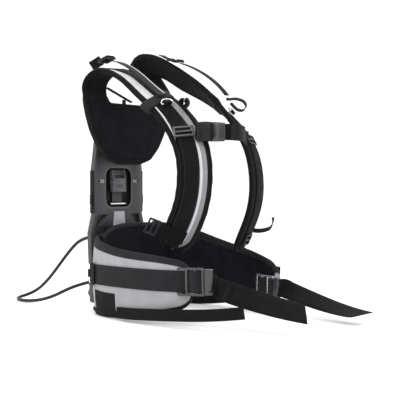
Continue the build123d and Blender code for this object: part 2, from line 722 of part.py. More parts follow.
SOLO_PARTS = {
    "back_plate": back_plate,
    "mount_inserts": mount_inserts,
    "edge_trims": edge_trims,
    "adjuster_tray": adjuster_tray,
    "guide_bar": guide_bar,
    "adjuster_webbing": adjuster_webbing,
    "cam_base": cam_base,
    "cam_pin": cam_pin,
    "cam_lever": cam_lever,
    "yoke_carriage": yoke_carriage,
    "yoke_pad": yoke_pad,
    "yoke_post": yoke_post,
    "haul_strap": haul_strap,
    "lumbar_board": lumbar_board,
    "lumbar_pad": lumbar_pad,
    "bottom_strap": bottom_strap,
    "knob_shaft": knob_shaft,
    "tension_knob": tension_knob,
    "cable": cable,
    "cable_gland": lambda: cable_fitting(0),
    "cable_plug": lambda: cable_fitting(-1),
    "lower_lock_right": lower_lock_right,
    "lower_lock_left": lower_lock_left,
    "lower_webbing_right": lower_webbing_right,
    "lower_webbing_left": lower_webbing_left,
    "chest_webbing_right": chest_webbing_right,
    "chest_webbing_left": chest_webbing_left,
    "chest_buckle_female": lambda: on_chest(FEMALE_START, buckle_female()),
    "chest_buckle_male": lambda: on_chest(MALE_START, buckle_male()),
    "chest_prong_upper": lambda: on_chest(MALE_START, buckle_prong(1)),
    "chest_prong_lower": lambda: on_chest(MALE_START, buckle_prong(-1)),
    "waist_tail_right": lambda: tail_band(RIGHT_TAIL, 25.0, 48.0),
    "waist_tail_left": lambda: tail_band(LEFT_TAIL, 40.0, 78.0),
    "keepers": lambda: Compound([keeper(side) for side in STRAPS]),
    "lifter_tails": lambda: Compound([lifter_tail(side) for side in STRAPS]),
    "strap_ring_tabs": lambda: Compound([ring_tab(strap_ring_place(side)) for side in STRAPS]),
    "belt_ring_tabs": lambda: Compound([ring_tab(belt_ring_place(side)) for side in STRAPS]),
}

PAIRED_PARTS = {
    "shoulder_pad": pad,
    "strap_webbing": strap_webbing,
    "strap_ring": strap_ring,
    "lifter_webbing": lifter_webbing,
    "lifter_lock": lifter_lock,
    "chest_slider": chest_slider,
    "hip_wing": hip_wing,
    "wing_webbing": wing_webbing,
    "waist_lock": waist_lock,
    "waist_coupler": waist_coupler,
    "belt_ring": belt_ring,
}


def main():
    os.makedirs("parts", exist_ok=True)
    for name, make in SOLO_PARTS.items():
        save(make(), name)
    for name, make in PAIRED_PARTS.items():
        for side in STRAPS:
            save(make(side), f"{name}_{side}")


main()
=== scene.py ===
"""Looks for the backpack carrying harness: soft goods, webbing, hardware finish, cable, light and camera.

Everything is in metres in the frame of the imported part: +Z up, the wearer faces -Y, their right side is -X.
"""

import json
import math

import bmesh
import bpy
import numpy as np
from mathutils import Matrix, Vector

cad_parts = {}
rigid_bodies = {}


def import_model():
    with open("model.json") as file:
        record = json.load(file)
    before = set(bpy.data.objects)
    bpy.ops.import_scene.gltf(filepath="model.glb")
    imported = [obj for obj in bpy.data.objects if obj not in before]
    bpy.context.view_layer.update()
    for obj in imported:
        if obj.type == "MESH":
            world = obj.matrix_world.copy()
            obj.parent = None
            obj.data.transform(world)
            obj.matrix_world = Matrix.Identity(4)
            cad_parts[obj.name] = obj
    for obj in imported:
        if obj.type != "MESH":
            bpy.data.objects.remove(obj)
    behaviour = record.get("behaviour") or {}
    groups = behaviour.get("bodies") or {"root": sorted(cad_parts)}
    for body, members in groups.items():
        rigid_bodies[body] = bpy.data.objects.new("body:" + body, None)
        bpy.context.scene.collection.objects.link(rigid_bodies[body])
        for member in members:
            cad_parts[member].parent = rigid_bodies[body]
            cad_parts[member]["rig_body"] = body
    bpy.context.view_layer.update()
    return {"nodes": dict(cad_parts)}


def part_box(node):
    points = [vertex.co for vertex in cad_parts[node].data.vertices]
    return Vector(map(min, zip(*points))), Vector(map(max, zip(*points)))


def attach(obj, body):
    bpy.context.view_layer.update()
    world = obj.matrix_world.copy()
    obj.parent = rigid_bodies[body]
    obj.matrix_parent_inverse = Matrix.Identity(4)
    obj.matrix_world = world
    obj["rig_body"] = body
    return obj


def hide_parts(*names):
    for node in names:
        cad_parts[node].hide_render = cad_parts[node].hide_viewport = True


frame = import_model()
nodes = frame["nodes"]

MM = 0.001
FLOOR_Z = -0.300
SHARP_ANGLE = math.radians(35)
X_AXIS = np.array([1.0, 0.0, 0.0])
Z_AXIS = np.array([0.0, 0.0, 1.0])

# ---------------------------------------------------------------- sizes shared with the part, in millimetres
PAD_WIDTH = 80.0
PAD_THICKNESS = 13.0
WEB_THICKNESS = 1.8
STRAP_WEB = 38.0
WAIST_WEB = 50.0
LIFTER_WEB = 25.0
WING_THICKNESS = 18.0
GAP = 0.5
WEB_LIFT = PAD_THICKNESS / 2 + GAP + WEB_THICKNESS / 2
RIGHT_STRAP = [
    (-125, -52, 264), (-122, -58, 296), (-113, -88, 316), (-106, -132, 308), (-106, -182, 282),
    (-112, -241, 246), (-118, -296, 212), (-123, -345, 168), (-129, -384, 110), (-131, -394, 45),
    (-128, -380, -20), (-121, -344, -80), (-114, -306, -124),
]
LEFT_STRAP = [
    (124, -48, 266), (120, -26, 296), (114, -6, 326), (108, -12, 350), (106, -48, 354),
    (106, -94, 337), (107, -140, 312), (110, -197, 281), (113, -250, 246), (118, -294, 208),
    (124, -332, 166), (128, -364, 112), (130, -378, 50),
    (128, -376, -20), (121, -356, -85), (114, -330, -140),
]
RIGHT_TWIST = [(0.0, 0.0), (0.22, 6.0), (0.45, 26.0), (0.62, 44.0), (0.85, 46.0), (1.0, 40.0)]
LEFT_TWIST = [(0.0, -14.0), (0.1, -42.0), (0.3, -48.0), (0.44, -36.0), (0.6, -16.0), (1.0, -14.0)]
RIGHT_LIFTER = [(-105, -96, 343), (-106, -140, 331), (-110, -205, 294), (-117, -280, 245)]
LEFT_LIFTER = [(82, -168, 349), (92, -212, 330), (106, -254, 301), (118, -292, 260)]
WING_PLAN = [(94, -50), (136, -70), (165, -125), (180, -205), (186, -305), (168, -418)]
WING_TOP = {
    "right": [-98, -106, -118, -130, -137, -154],
    "left": [-73, -80, -92, -116, -142, -176],
}
WING_BOTTOM = {
    "right": [-298, -300, -299, -293, -277, -250],
    "left": [-298, -300, -300, -294, -278, -256],
}
WING_WEB_Z = {
    "right": [-196, -196, -195, -194, -193, -191],
    "left": [-196, -197, -198, -200, -204, -208],
}
RIGHT_TAIL = [(-155, -492, -206), (-142, -555, -222), (-134, -630, -236), (-124, -713, -247)]
LEFT_TAIL = [(150, -446, -232), (145, -512, -248), (136, -600, -266), (120, -704, -275)]
BOTTOM_STRAP = [
    (-190, -200, -280), (-198, -285, -276), (-201, -365, -270), (-195, -448, -264), (-182, -518, -257),
    (-168, -568, -250),
]
WAIST_LOCK_LENGTH = 66.0
LIFTER_LOCK_LENGTH = 34.0
LIFTER_LOCK_TILT = {"right": 24.0, "left": 8.0}
YOKE_HALF = [
    (36, 82), (78, 95), (110, 128), (134, 168), (148, 208), (156, 240), (156, 262), (90, 262), (76, 240),
]
YOKE_MIDDLE_Y = -50.0
YOKE_HALF_DEPTH = 10.0
SEAM_INSET = 3.0  # from a band's selvedge to its row of stitches
PIPING_PITCH = 0.0115  # metres from one ripple of a bound edge to the next
PAD_STEPS = 110
CABLE_DIAMETER = 9.0
CABLE_ROUTE = [
    (-80, 18, -112), (-79, 54, -120), (-76, 94, -148), (-72, 136, -184), (-67, 178, -220),
    (-62, 218, -250), (-60, 254, -272), (-68, 284, -286), (-88, 296, -292), (-108, 284, -294),
    (-118, 252, -295), (-119, 212, -294), (-114, 168, -287), (-108, 126, -274), (-100, 88, -256),
    (-90, 52, -241), (-80, 20, -232),
]


def linked(name, data):
    """A new object in the scene."""
    piece = bpy.data.objects.new(name, data)
    bpy.context.scene.collection.objects.link(piece)
    return piece


# ---------------------------------------------------------------- materials
def material(name, color, roughness, **sockets):
    m = bpy.data.materials.new(name)
    m.use_nodes = True
    shader = m.node_tree.nodes["Principled BSDF"]
    shader.inputs["Base Color"].default_value = (*color, 1.0)
    shader.inputs["Roughness"].default_value = roughness
    for key, value in sockets.items():
        shader.inputs[key.replace("_", " ")].default_value = value
    return m


def add(m, kind, **values):
    """A node, with its settings and its inputs' values by name."""
    node = m.node_tree.nodes.new(kind)
    for key, value in values.items():
        if hasattr(node, key):
            setattr(node, key, value)
        else:
            node.inputs[key.replace("_", " ")].default_value = value
    return node


def wire(m, output, target):
    m.node_tree.links.new(output, target)


def shader_of(m):
    return m.node_tree.nodes["Principled BSDF"]


def place_of(m, flat):
    """Where a pattern is read: along the webbing when flat, otherwise in the object's own metres."""
    if flat:
        return add(m, "ShaderNodeUVMap", uv_map="flat").outputs["UV"]
    return add(m, "ShaderNodeTexCoord").outputs["Object"]


def bands(m, place, axis, period, distortion=0.0):
    node = add(m, "ShaderNodeTexWave", bands_direction=axis, Scale=0.31416 / period, Distortion=distortion)
    wire(m, place, node.inputs["Vector"])
    return node.outputs["Fac"]


def combine(m, operation, a, b):
    node = add(m, "ShaderNodeMath", operation=operation)
    wire(m, a, node.inputs[0])
    if isinstance(b, float):
        node.inputs[1].default_value = b
    else:
        wire(m, b, node.inputs[1])
    return node.outputs[0]


def tint(m, factor, dark, light):
    """The base colour goes from dark to light with the factor."""
    mix = add(m, "ShaderNodeMix", data_type="RGBA")
    ends = {"A": dark, "B": light}
    for socket in mix.inputs:
        if socket.type == "RGBA" and socket.name in ends:
            socket.default_value = (*ends[socket.name], 1.0)
    wire(m, factor, mix.inputs["Factor"])
    result = [s for s in mix.outputs if s.type == "RGBA"][0]
    wire(m, result, shader_of(m).inputs["Base Color"])


def relief(m, height, strength, depth):
    node = add(m, "ShaderNodeBump", Strength=strength, Distance=depth)
    wire(m, height, node.inputs["Height"])
    wire(m, node.outputs["Normal"], shader_of(m).inputs["Normal"])


def clouds(m, place, size, detail=3.0):
    node = add(m, "ShaderNodeTexNoise", Scale=1.0 / size, Detail=detail)
    wire(m, place, node.inputs["Vector"])
    return node.outputs["Fac"]


def woven(
    name, dark, light, across=0.0022, along=0.0015, flat=True, roughness=0.85, sheen=0.03, depth=0.0004
):
    """Webbing or cloth: ribs across and along, with slow variation of tone."""
    m = material(name, light, roughness, Sheen_Weight=sheen, Sheen_Roughness=0.5, Specular_IOR_Level=0.1)
    place = place_of(m, flat)
    ribs = combine(m, "MULTIPLY", bands(m, place, "X", across), bands(m, place, "Y" if flat else "Z", along))
    slow = clouds(m, place, 0.04)
    tone = combine(m, "MULTIPLY", combine(m, "ADD", ribs, 0.35), slow)
    tint(m, tone, dark, light)
    relief(m, ribs, 0.55, depth)
    return m


def spacer_mesh(name, dark, light, pitch=0.0034):
    """Knitted spacer mesh: rows of small open cells."""
    m = material(name, dark, 0.9, Sheen_Weight=0.02, Sheen_Roughness=0.6, Specular_IOR_Level=0.08)
    place = place_of(m, False)
    cells = add(m, "ShaderNodeTexVoronoi", Scale=1.0 / pitch, Randomness=0.3)
    wire(m, place, cells.inputs["Vector"])
    cell = cells.outputs["Distance"]
    tone = combine(m, "MULTIPLY", cell, clouds(m, place, 0.05))
    tint(m, combine(m, "MULTIPLY", tone, 1.6), dark, light)
    relief(m, cell, 0.5, 0.0009)
    return m


def moulded(name, dark, light, roughness, grain=0.0012, depth=0.00008, **sockets):
    """Moulded plastic: fine spark grain, slightly uneven gloss, faint rub marks."""
    m = material(name, light, roughness, **sockets)
    place = place_of(m, False)
    tint(m, clouds(m, place, 0.03, 6.0), dark, light)
    gloss = add(m, "ShaderNodeMapRange", To_Min=roughness - 0.08, To_Max=roughness + 0.12)
    wire(m, clouds(m, place, 0.012, 5.0), gloss.inputs["Value"])
    wire(m, gloss.outputs["Result"], shader_of(m).inputs["Roughness"])
    relief(m, clouds(m, place, grain, 2.0), 0.5, depth)
    return m


def metal(name, color, roughness):
    m = material(name, color, roughness, Metallic=1.0)
    place = place_of(m, False)
    gloss = add(m, "ShaderNodeMapRange", To_Min=roughness - 0.06, To_Max=roughness + 0.16)
    wire(m, clouds(m, place, 0.003, 6.0), gloss.inputs["Value"])
    wire(m, gloss.outputs["Result"], shader_of(m).inputs["Roughness"])
    relief(m, clouds(m, place, 0.0008, 3.0), 0.25, 0.00003)
    return m


MESH = spacer_mesh("spacer_mesh", (0.0018, 0.002, 0.0035), (0.012, 0.013, 0.021))
EDGE_MESH = spacer_mesh("edge_mesh", (0.0012, 0.0012, 0.0015), (0.0095, 0.0095, 0.0105), 0.0028)
CLOTH = {"sheen": 0.1, "depth": 0.0002}
GREY = woven("grey_cloth", (0.24, 0.235, 0.25), (0.43, 0.415, 0.43), 0.0011, 0.0016, roughness=0.8, **CLOTH)
# One grey panel cloth in two copies: a pale copy that paints the light falling on it, and a darker copy that
# paints its shade.
PANEL_PAINTED_HIGHLIGHT = woven("panel_painted_highlight", (0.42, 0.42, 0.44), (0.80, 0.79, 0.81), 0.0013, 0.0013, roughness=0.7, **CLOTH)
PANEL_PAINTED_SHADE = woven(
    "panel_painted_shade", (0.17, 0.165, 0.175), (0.34, 0.33, 0.345), 0.0013, 0.0013, roughness=0.7, **CLOTH
)
WEB_BLACK = woven("webbing_black", (0.0016, 0.0016, 0.002), (0.013, 0.013, 0.0145))
WEB_DARK = woven("webbing_charcoal", (0.007, 0.007, 0.008), (0.034, 0.034, 0.037), 0.0025, 0.0017)
WEB_MID = woven("webbing_grey", (0.05, 0.05, 0.054), (0.16, 0.16, 0.17))
WEB_LIGHT = woven("webbing_light", (0.34, 0.34, 0.36), (0.72, 0.72, 0.75))
BINDING = woven(
    "binding_tape", (0.006, 0.006, 0.007), (0.030, 0.030, 0.033), 0.0018, 0.0012, roughness=0.8, sheen=0.05
)
BINDING_BLACK = woven(
    "binding_black", (0.0012, 0.0012, 0.0015), (0.009, 0.009, 0.010), 0.0018, 0.0012, roughness=0.8
)
THREAD = woven("thread", (0.02, 0.02, 0.022), (0.07, 0.07, 0.075), 0.0006, 0.0006, flat=False, roughness=0.6)
DULL = {"Specular_IOR_Level": 0.2}
PLATE = moulded("plate_plastic", (0.026, 0.026, 0.030), (0.058, 0.058, 0.064), 0.45)
DARK_PLASTIC = moulded("dark_plastic", (0.002, 0.002, 0.0025), (0.007, 0.007, 0.008), 0.5, **DULL)
BUCKLE_PLASTIC = moulded("buckle_plastic", (0.004, 0.004, 0.005), (0.013, 0.013, 0.015), 0.4, **DULL)
GREY_PLASTIC = moulded("grey_plastic", (0.060, 0.060, 0.066), (0.11, 0.11, 0.118), 0.3)
LOCK_PLASTIC = moulded("lock_plastic", (0.022, 0.022, 0.025), (0.052, 0.052, 0.057), 0.28)
PALE_PLASTIC = moulded("pale_plastic", (0.45, 0.45, 0.46), (0.75, 0.75, 0.76), 0.4)
STEEL = metal("bright_steel", (0.80, 0.80, 0.82), 0.2)
BRASS = metal("brass", (0.16, 0.12, 0.06), 0.45)
JACKET = moulded(
    "cable_jacket", (0.002, 0.002, 0.0025), (0.006, 0.006, 0.007), 0.34, 0.004, 0.0001, Specular_IOR_Level=0.3
)


# ---------------------------------------------------------------- camera, light and floor
CAMERA_AZIMUTH = math.radians(-50.0)
CAMERA_ELEVATION = math.radians(1.2)
CAMERA_DISTANCE = 2.3
CAMERA_TARGET = Vector((0.0, -0.300, -0.010))
LENS = 82.8
LIT_POINT = Vector((0.0, -0.2, 0.0))


def toward(azimuth, elevation):
    """The direction from the object to a viewer at this azimuth and elevation."""
    flat = math.cos(elevation)
    return Vector((math.sin(azimuth) * flat, -math.cos(azimuth) * flat, math.sin(elevation)))


def aim(piece, target, back, distance):
    piece.location = target + back * distance
    piece.rotation_mode = "QUATERNION"
    piece.rotation_quaternion = (-back).to_track_quat("-Z", "Y")


def make_camera():
    data = bpy.data.cameras.new("camera")
    data.lens = LENS
    data.sensor_width = 36.0
    camera = linked("camera", data)
    aim(camera, CAMERA_TARGET, toward(CAMERA_AZIMUTH, CAMERA_ELEVATION), CAMERA_DISTANCE)
    bpy.context.scene.camera = camera


def area_light(name, azimuth, elevation, distance, size, power):
    data = bpy.data.lights.new(name, "AREA")
    data.energy = power
    data.size = size
    light = linked(name, data)
    aim(light, LIT_POINT, toward(math.radians(azimuth), math.radians(elevation)), distance)


def make_stage():
    world = bpy.data.worlds.new("studio")
    world.use_nodes = True
    background = world.node_tree.nodes["Background"]
    background.inputs["Color"].default_value = (1.0, 1.0, 1.0, 1.0)
    background.inputs["Strength"].default_value = 1.1
    bpy.context.scene.world = world
    mesh = bpy.data.meshes.new("floor")
    count, radius = 96, 6.0
    ring = [2 * math.pi * i / count for i in range(count)]
    points = [(radius * math.cos(a), radius * math.sin(a) - 0.2, FLOOR_Z - 0.0004) for a in ring]
    mesh.from_pydata(points, [], [list(range(count))])
    floor = linked("floor", mesh)
    mesh.materials.append(material("floor_paper", (0.97, 0.97, 0.97), 0.9, Specular_IOR_Level=0.1))
    area_light("key", -85.0, 48.0, 2.6, 1.6, 36.0)
    area_light("fill", -10.0, 25.0, 3.0, 2.0, 14.0)
    area_light("rim", 130.0, 50.0, 2.6, 1.6, 30.0)
    bpy.context.scene.view_settings.view_transform = "Standard"
    bpy.context.scene.view_settings.look = "None"


make_camera()
make_stage()


# ---------------------------------------------------------------- cable
def make_cable():
    curve = bpy.data.curves.new("cable_run", "CURVE")
    curve.dimensions = "3D"
    curve.bevel_depth = CABLE_DIAMETER / 2 * MM
    curve.bevel_resolution = 8
    curve.resolution_u = 16
    curve.use_fill_caps = True
    spline = curve.splines.new("NURBS")
    spline.points.add(len(CABLE_ROUTE) - 1)
    for point, place in zip(spline.points, CABLE_ROUTE):
        point.co = (*[c * MM for c in place], 1.0)
    spline.order_u = 3
    spline.use_endpoint_u = True
    curve.materials.append(JACKET)
    cable = linked("cable_run", curve)
    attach(cable, "back_frame")
    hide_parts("cable")
    [c * MM for c in CABLE_ROUTE[0]]


make_cable()


# ---------------------------------------------------------------- lines and sections
def unit(vector):
    return vector / np.linalg.norm(vector)


class Path:
    """A smooth line through points in millimetres, read in metres by its share of length."""

    def __init__(self, points):
        p = np.array(points, float) * MM
        gaps = np.linalg.norm(np.diff(p, axis=0), axis=1)
        knots = np.concatenate([[0], np.cumsum(gaps)])
        count = len(p)
        matrix, right = np.zeros((count, count)), np.zeros((count, 3))
        matrix[0, 0] = matrix[-1, -1] = 1
        right[0] = self.end_slope(knots[:4], p[:4])
        right[-1] = self.end_slope(knots[::-1][:4], p[::-1][:4])
        for i in range(1, count - 1):
            a, b = gaps[i - 1], gaps[i]
            matrix[i, i - 1], matrix[i, i], matrix[i, i + 1] = 1 / a, 2 / a + 2 / b, 1 / b
            right[i] = 3 * ((p[i] - p[i - 1]) / a**2 + (p[i + 1] - p[i]) / b**2)
        slopes = np.linalg.solve(matrix, right)
        line = []
        for i in range(count - 1):
            for t in np.linspace(0, 1, 40, endpoint=False):
                line.append(self.hermite(p[i], p[i + 1], slopes[i] * gaps[i], slopes[i + 1] * gaps[i], t))
        self.line = np.array(line + [p[-1]])
        steps = np.linalg.norm(np.diff(self.line, axis=0), axis=1)
        self.shares = np.concatenate([[0], np.cumsum(steps)])
        self.length = self.shares[-1]
        self.shares = self.shares / self.length

    @staticmethod
    def end_slope(knots, points):
        """The slope at the first of a few points of the curve through them."""
        slope = np.zeros(3)
        for i, point in enumerate(points):
            others = [k for j, k in enumerate(knots) if j != i]
            scale = np.prod([knots[i] - k for k in others])
            change = 0
            for skip in range(len(others)):
                change += np.prod([knots[0] - k for j, k in enumerate(others) if j != skip])
            slope += point * change / scale
        return slope

    @staticmethod
    def hermite(a, b, slope_a, slope_b, t):
        return (
            a * (2 * t**3 - 3 * t**2 + 1)
            + slope_a * (t**3 - 2 * t**2 + t)
            + b * (3 * t**2 - 2 * t**3)
            + slope_b * (t**3 - t**2)
        )

    def at(self, u):
        return np.array([np.interp(u, self.shares, self.line[:, k]) for k in range(3)])

    def tangent(self, u):
        return unit(self.at(min(u + 0.004, 1.0)) - self.at(max(u - 0.004, 0.0)))


def placed(origin, side, out, along):
    return {"origin": origin, "side": side, "out": out, "along": along}


def strap_frame(path, twist, u, lift=0.0):
    """A section of a shoulder strap: side goes across it, out points away from the wearer."""
    along = path.tangent(u)
    flat = unit(np.cross(along, X_AXIS))
    side = unit(np.cross(flat, along))
    angle = math.radians(np.interp(u, *zip(*twist)))
    out = unit(flat * math.cos(angle) - side * math.sin(angle))
    return placed(path.at(u) + out * lift * MM, unit(np.cross(out, along)), out, along)


def upright_frame(path, u, lift=0.0, lean=0.0):
    """A section of a band that runs level with its width upright."""
    along = path.tangent(u)
    outward = unit(np.cross(Z_AXIS, along))
    if outward[0] * path.at(u)[0] < 0:
        outward = -outward
    upright = unit(np.cross(along, outward))
    angle = math.radians(lean)
    sign = 1.0 if upright[2] > 0 else -1.0
    side = unit(upright * math.cos(angle) + outward * math.sin(angle)) * sign
    out = unit(outward * math.cos(angle) - upright * math.sin(angle))
    return placed(path.at(u) + outward * lift * MM, side, out, along)


def spot(section, x, y, z=0.0):
    """A point of a section, in millimetres across, outward and along."""
    return section["origin"] + (section["side"] * x + section["out"] * y + section["along"] * z) * MM


# ---------------------------------------------------------------- mesh building
def finish_mesh(name, mesh, body, materials, smooth=40.0):
    for m in materials:
        mesh.materials.append(m)
    built = bmesh.new()
    built.from_mesh(mesh)
    bmesh.ops.recalc_face_normals(built, faces=built.faces)
    built.to_mesh(mesh)
    built.free()
    mesh.shade_smooth()
    mesh.set_sharp_from_angle(angle=math.radians(smooth))
    piece = linked(name, mesh)
    if body:
        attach(piece, body)
    return piece


def skin(name, rows, body, materials, paint=None, smooth=40.0, closed=True):
    """A closed skin over rows of points, with a flat map in metres for woven patterns."""
    rows = [np.array(row) for row in rows]
    count = len(rows[0])
    verts = [tuple(p) for row in rows for p in row]
    around = [0.0]
    middle = rows[len(rows) // 2]
    for j in range(count):
        around.append(around[-1] + float(np.linalg.norm(middle[(j + 1) % count] - middle[j])))
    run = [0.0]
    for a, b in zip(rows, rows[1:]):
        run.append(run[-1] + float(np.linalg.norm(b.mean(0) - a.mean(0))))
    faces, maps, kinds = [], [], []
    for i in range(len(rows) - 1):
        for j in range(count):
            k = (j + 1) % count
            faces.append((i * count + j, i * count + k, (i + 1) * count + k, (i + 1) * count + j))
            left, right = around[j], around[j + 1]
            maps += [(left, run[i]), (right, run[i]), (right, run[i + 1]), (left, run[i + 1])]
            kinds.append(paint(i, j) if paint else 0)
    for i, order in ((0, range(count)), (len(rows) - 1, range(count - 1, -1, -1))):
        faces.append(tuple(i * count + j for j in order))
        maps += [(around[j], run[i]) for j in order]
        kinds.append(kinds[0])
    mesh = bpy.data.meshes.new(name)
    mesh.from_pydata(verts, [], faces)
    flat = mesh.uv_layers.new(name="flat")
    for loop, value in zip(flat.data, maps):
        loop.uv = value
    for face, kind in zip(mesh.polygons, kinds):
        face.material_index = kind
    return finish_mesh(name, mesh, body, materials, smooth)


def web_profile(width, thickness, curl=0.0):
    """The section of a woven band, flat with rounded selvedges."""
    half, depth = width / 2, thickness / 2
    across = [-half + 1.0, -half * 0.5, 0.0, half * 0.5, half - 1.0]
    top = [(x, depth + curl * (1 - (x / half) ** 2)) for x in across]
    low = [(x, y - thickness) for x, y in reversed(top)]
    return [(-half, 0.0)] + top + [(half, 0.0)] + low


def band(name, sections, width, thickness, body, m, curl=0.0, shift=None):
    profile = web_profile(width, thickness, curl)
    rows = []
    for i, section in enumerate(sections):
        move = shift(i / (len(sections) - 1)) if shift else 0.0
        rows.append([spot(section, x + move, y) for x, y in profile])
    return skin(name, rows, body, [m], smooth=50.0)


def edge_runs(sections, width):
    """Where the rows of stitches run along both selvedges of a band."""
    runs = []
    for sign in (-1, 1):
        x = sign * (width / 2 - SEAM_INSET)
        runs.append([(spot(s, x, WEB_THICKNESS / 2 + 0.1), s["out"]) for s in sections])
    return runs


def cross_runs(section, half, places):
    """Rows of stitches straight across a band."""
    return [[(spot(section, x, 0.0, z), section["out"]) for x in (-half, half)] for z in places]


def shares(start, end, count):
    return [start + (end - start) * i / count for i in range(count + 1)]


def stitches(name, runs, body, m, length=2.6, gap=1.3, radius=0.42):
    """Rows of thread: each run is a line of points with the surface's outward direction at each."""
    verts, faces = [], []
    for run in runs:
        points = np.array([p for p, _ in run])
        outs = np.array([o for _, o in run])
        travel = np.concatenate([[0], np.cumsum(np.linalg.norm(np.diff(points, axis=0), axis=1))])
        total, place = travel[-1], 0.0
        while place + length * MM <= total:
            ends = []
            for s in (place, place + length * MM):
                ends.append(np.array([np.interp(s, travel, points[:, k]) for k in range(3)]))
            out = unit(np.array([np.interp(place, travel, outs[:, k]) for k in range(3)]))
            along = unit(ends[1] - ends[0])
            side = unit(np.cross(along, out))
            base = len(verts)
            for share, size in ((0.0, 0.45), (0.25, 1.0), (0.75, 1.0), (1.0, 0.45)):
                centre = ends[0] + (ends[1] - ends[0]) * share
                for a in range(6):
                    turn = math.pi * 2 * a / 6
                    offset = side * math.cos(turn) + out * math.sin(turn)
                    verts.append(tuple(centre + offset * radius * size * MM))
            for ring in range(3):
                for a in range(6):
                    b = (a + 1) % 6
                    low, high = base + ring * 6, base + ring * 6 + 6
                    faces.append((low + a, low + b, high + b, high + a))
            faces.append(tuple(base + a for a in range(5, -1, -1)))
            faces.append(tuple(base + 18 + a for a in range(6)))
            place += (length + gap) * MM
    mesh = bpy.data.meshes.new(name)
    mesh.from_pydata(verts, [], faces)
    return finish_mesh(name, mesh, body, [m])


# ---------------------------------------------------------------- shoulder straps
STRAPS = {
    "right": (Path(RIGHT_STRAP), RIGHT_TWIST),
    "left": (Path(LEFT_STRAP), LEFT_TWIST),
}
KEEPER_U = {"right": 0.39, "left": 0.47}
KEEPER_SLACK = {"right": 14.0, "left": 1.0}
WEB_START_U = {"right": 0.5, "left": 0.53}
CHEST_U = {"right": 0.572, "left": 0.64}
WEB_SHIFT = {"right": -8.0, "left": 0.0}
CHEST_LIFT = {"right": 13.5, "left": 4.5}
BINDING_WIDTH = 9.0


def section_of(side, u, lift=0.0):
    path, twist = STRAPS[side]
    return strap_frame(path, twist, u, lift)


def root_flare(side, u):
    """How far the left pad's inner edge spreads behind the neck, in millimetres."""
    return 18.0 * math.exp(-(((u - 0.05) / 0.05) ** 2)) if side == "left" else 0.0


def pad_taper(u):
    """The pad narrows into a rounded tip at its lower end."""
    tip = max(0.0, (u - 0.93) / 0.07)
    return 1.0 - 0.34 * tip**2


def pad_height(x, half):
    """Half the pad's thickness at a distance across it: crowned, thin at the bound edge."""
    edge, middle = 2.6, PAD_THICKNESS / 2 + 0.6
    share = min(abs(x) / half, 1.0)
    crown = edge + (middle - edge) * math.sqrt(max(0.0, 1 - share**3.2))
    groove = 1.1 * math.exp(-(((share - 0.70) * half / 1.8) ** 2))
    return crown - groove


def stripe_edges(side, u):
    """Where the pad's stripes lie across it: outer stripe, then a pale and a grey inner stripe. All of them
    are one grey panel: the outer and pale stripes are painted highlight on it, the grey stripe is painted
    shade.
    """
    if side == "left":
        width = 8.5 * min(1.0, max(0.0, (u - 0.52) / 0.05)) * min(1.0, max(0.0, (0.95 - u) / 0.04))
        return -30.0, -29.8, 20.0, 20.2 + width, 20.4 + width
    if u < KEEPER_U["right"]:
        rise = min(1.0, max(0.0, (u - 0.13) / 0.08))
        return -28.0, -27.8 + 23.0 * rise, 16.0, 16.2, 16.4
    outer = 8.0 * min(1.0, max(0.0, (CHEST_U["right"] + 0.07 - u) / 0.12))
    taper = min(1.0, max(0.0, (0.99 - u) / 0.04)) ** 0.6
    # The pale part's width: there the grey panel is painted with its highlight.
    highlight_width = 6.5 * min(1.0, max(0.0, (u - CHEST_U["right"]) / 0.06)) * taper
    inner = (WEB_SHIFT["right"] + STRAP_WEB / 2) * taper
    # The grey part's width: there the same panel is painted with its shade.
    grey = (15.0 - highlight_width * 0.55) * taper
    return -34.5, -34.3 + outer, inner, inner + 0.2 + highlight_width, inner + 0.4 + highlight_width + grey


# Face kinds across a pad: 0 edge mesh, 1 the grey panel with painted highlight, 2 the grey panel with painted
# shade.
PAD_KINDS = [0] * 6 + [1] * 2 + [0] * 6 + [1] * 2 + [2] * 3 + [0] * 6


def pad_columns(side, u, half):
    """Positions across the pad, with mesh edges kept on the edges of its stripes."""
    scale = half * 2 / PAD_WIDTH
    a0, a1, b0, b1, b2 = [x * scale for x in stripe_edges(side, u)]
    rim = [0.0, 0.5, 1.6, 3.2, 4.6]
    columns = [-half + r for r in rim] + [(-half + 4.6 + a0) / 2 if a0 > -half + 5.2 else a0 - 0.3]
    columns += [a0, (a0 + a1) / 2]
    columns += [a1 + (b0 - a1) * k / 6 for k in range(6)]
    columns += [b0, (b0 + b1) / 2]
    columns += [b1 + (b2 - b1) * k / 3 for k in range(3)]
    columns += [b2, (b2 + half - 4.6) / 2]
    return columns + [half - r for r in reversed(rim)]


def shoulder_pad(side):
    rows = []
    for u in shares(0.0, 1.0, PAD_STEPS):
        section = section_of(side, u)
        half = PAD_WIDTH / 2 * pad_taper(u)
        ripple = 0.5 * math.sin(u * STRAPS[side][0].length / PIPING_PITCH * 2)
        columns = pad_columns(side, u, half)
        spread = root_flare(side, u) / (half * 2)
        heights = [(x, pad_height(x, half) + ripple * abs(x / half) ** 3) for x in columns]
        outline = [(x - spread * (half - x), y) for x, y in heights]
        outline += [(x, -y) for x, y in reversed(outline)]
        for z in (-24.0, -12.0) if u == 0.0 else ():
            rows.append([spot(section, x, y, z) for x, y in outline])
        rows.append([spot(section, x, y) for x, y in outline])

    def paint(i, j):
        return PAD_KINDS[j] if j < len(PAD_KINDS) else 0

    # The grey panel's stripes take its painted-highlight and painted-shade copies.
    pad = skin(f"pad_{side}", rows, "yoke", [EDGE_MESH, PANEL_PAINTED_HIGHLIGHT, PANEL_PAINTED_SHADE], paint)
    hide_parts(f"shoulder_pad_{side}")
    return pad


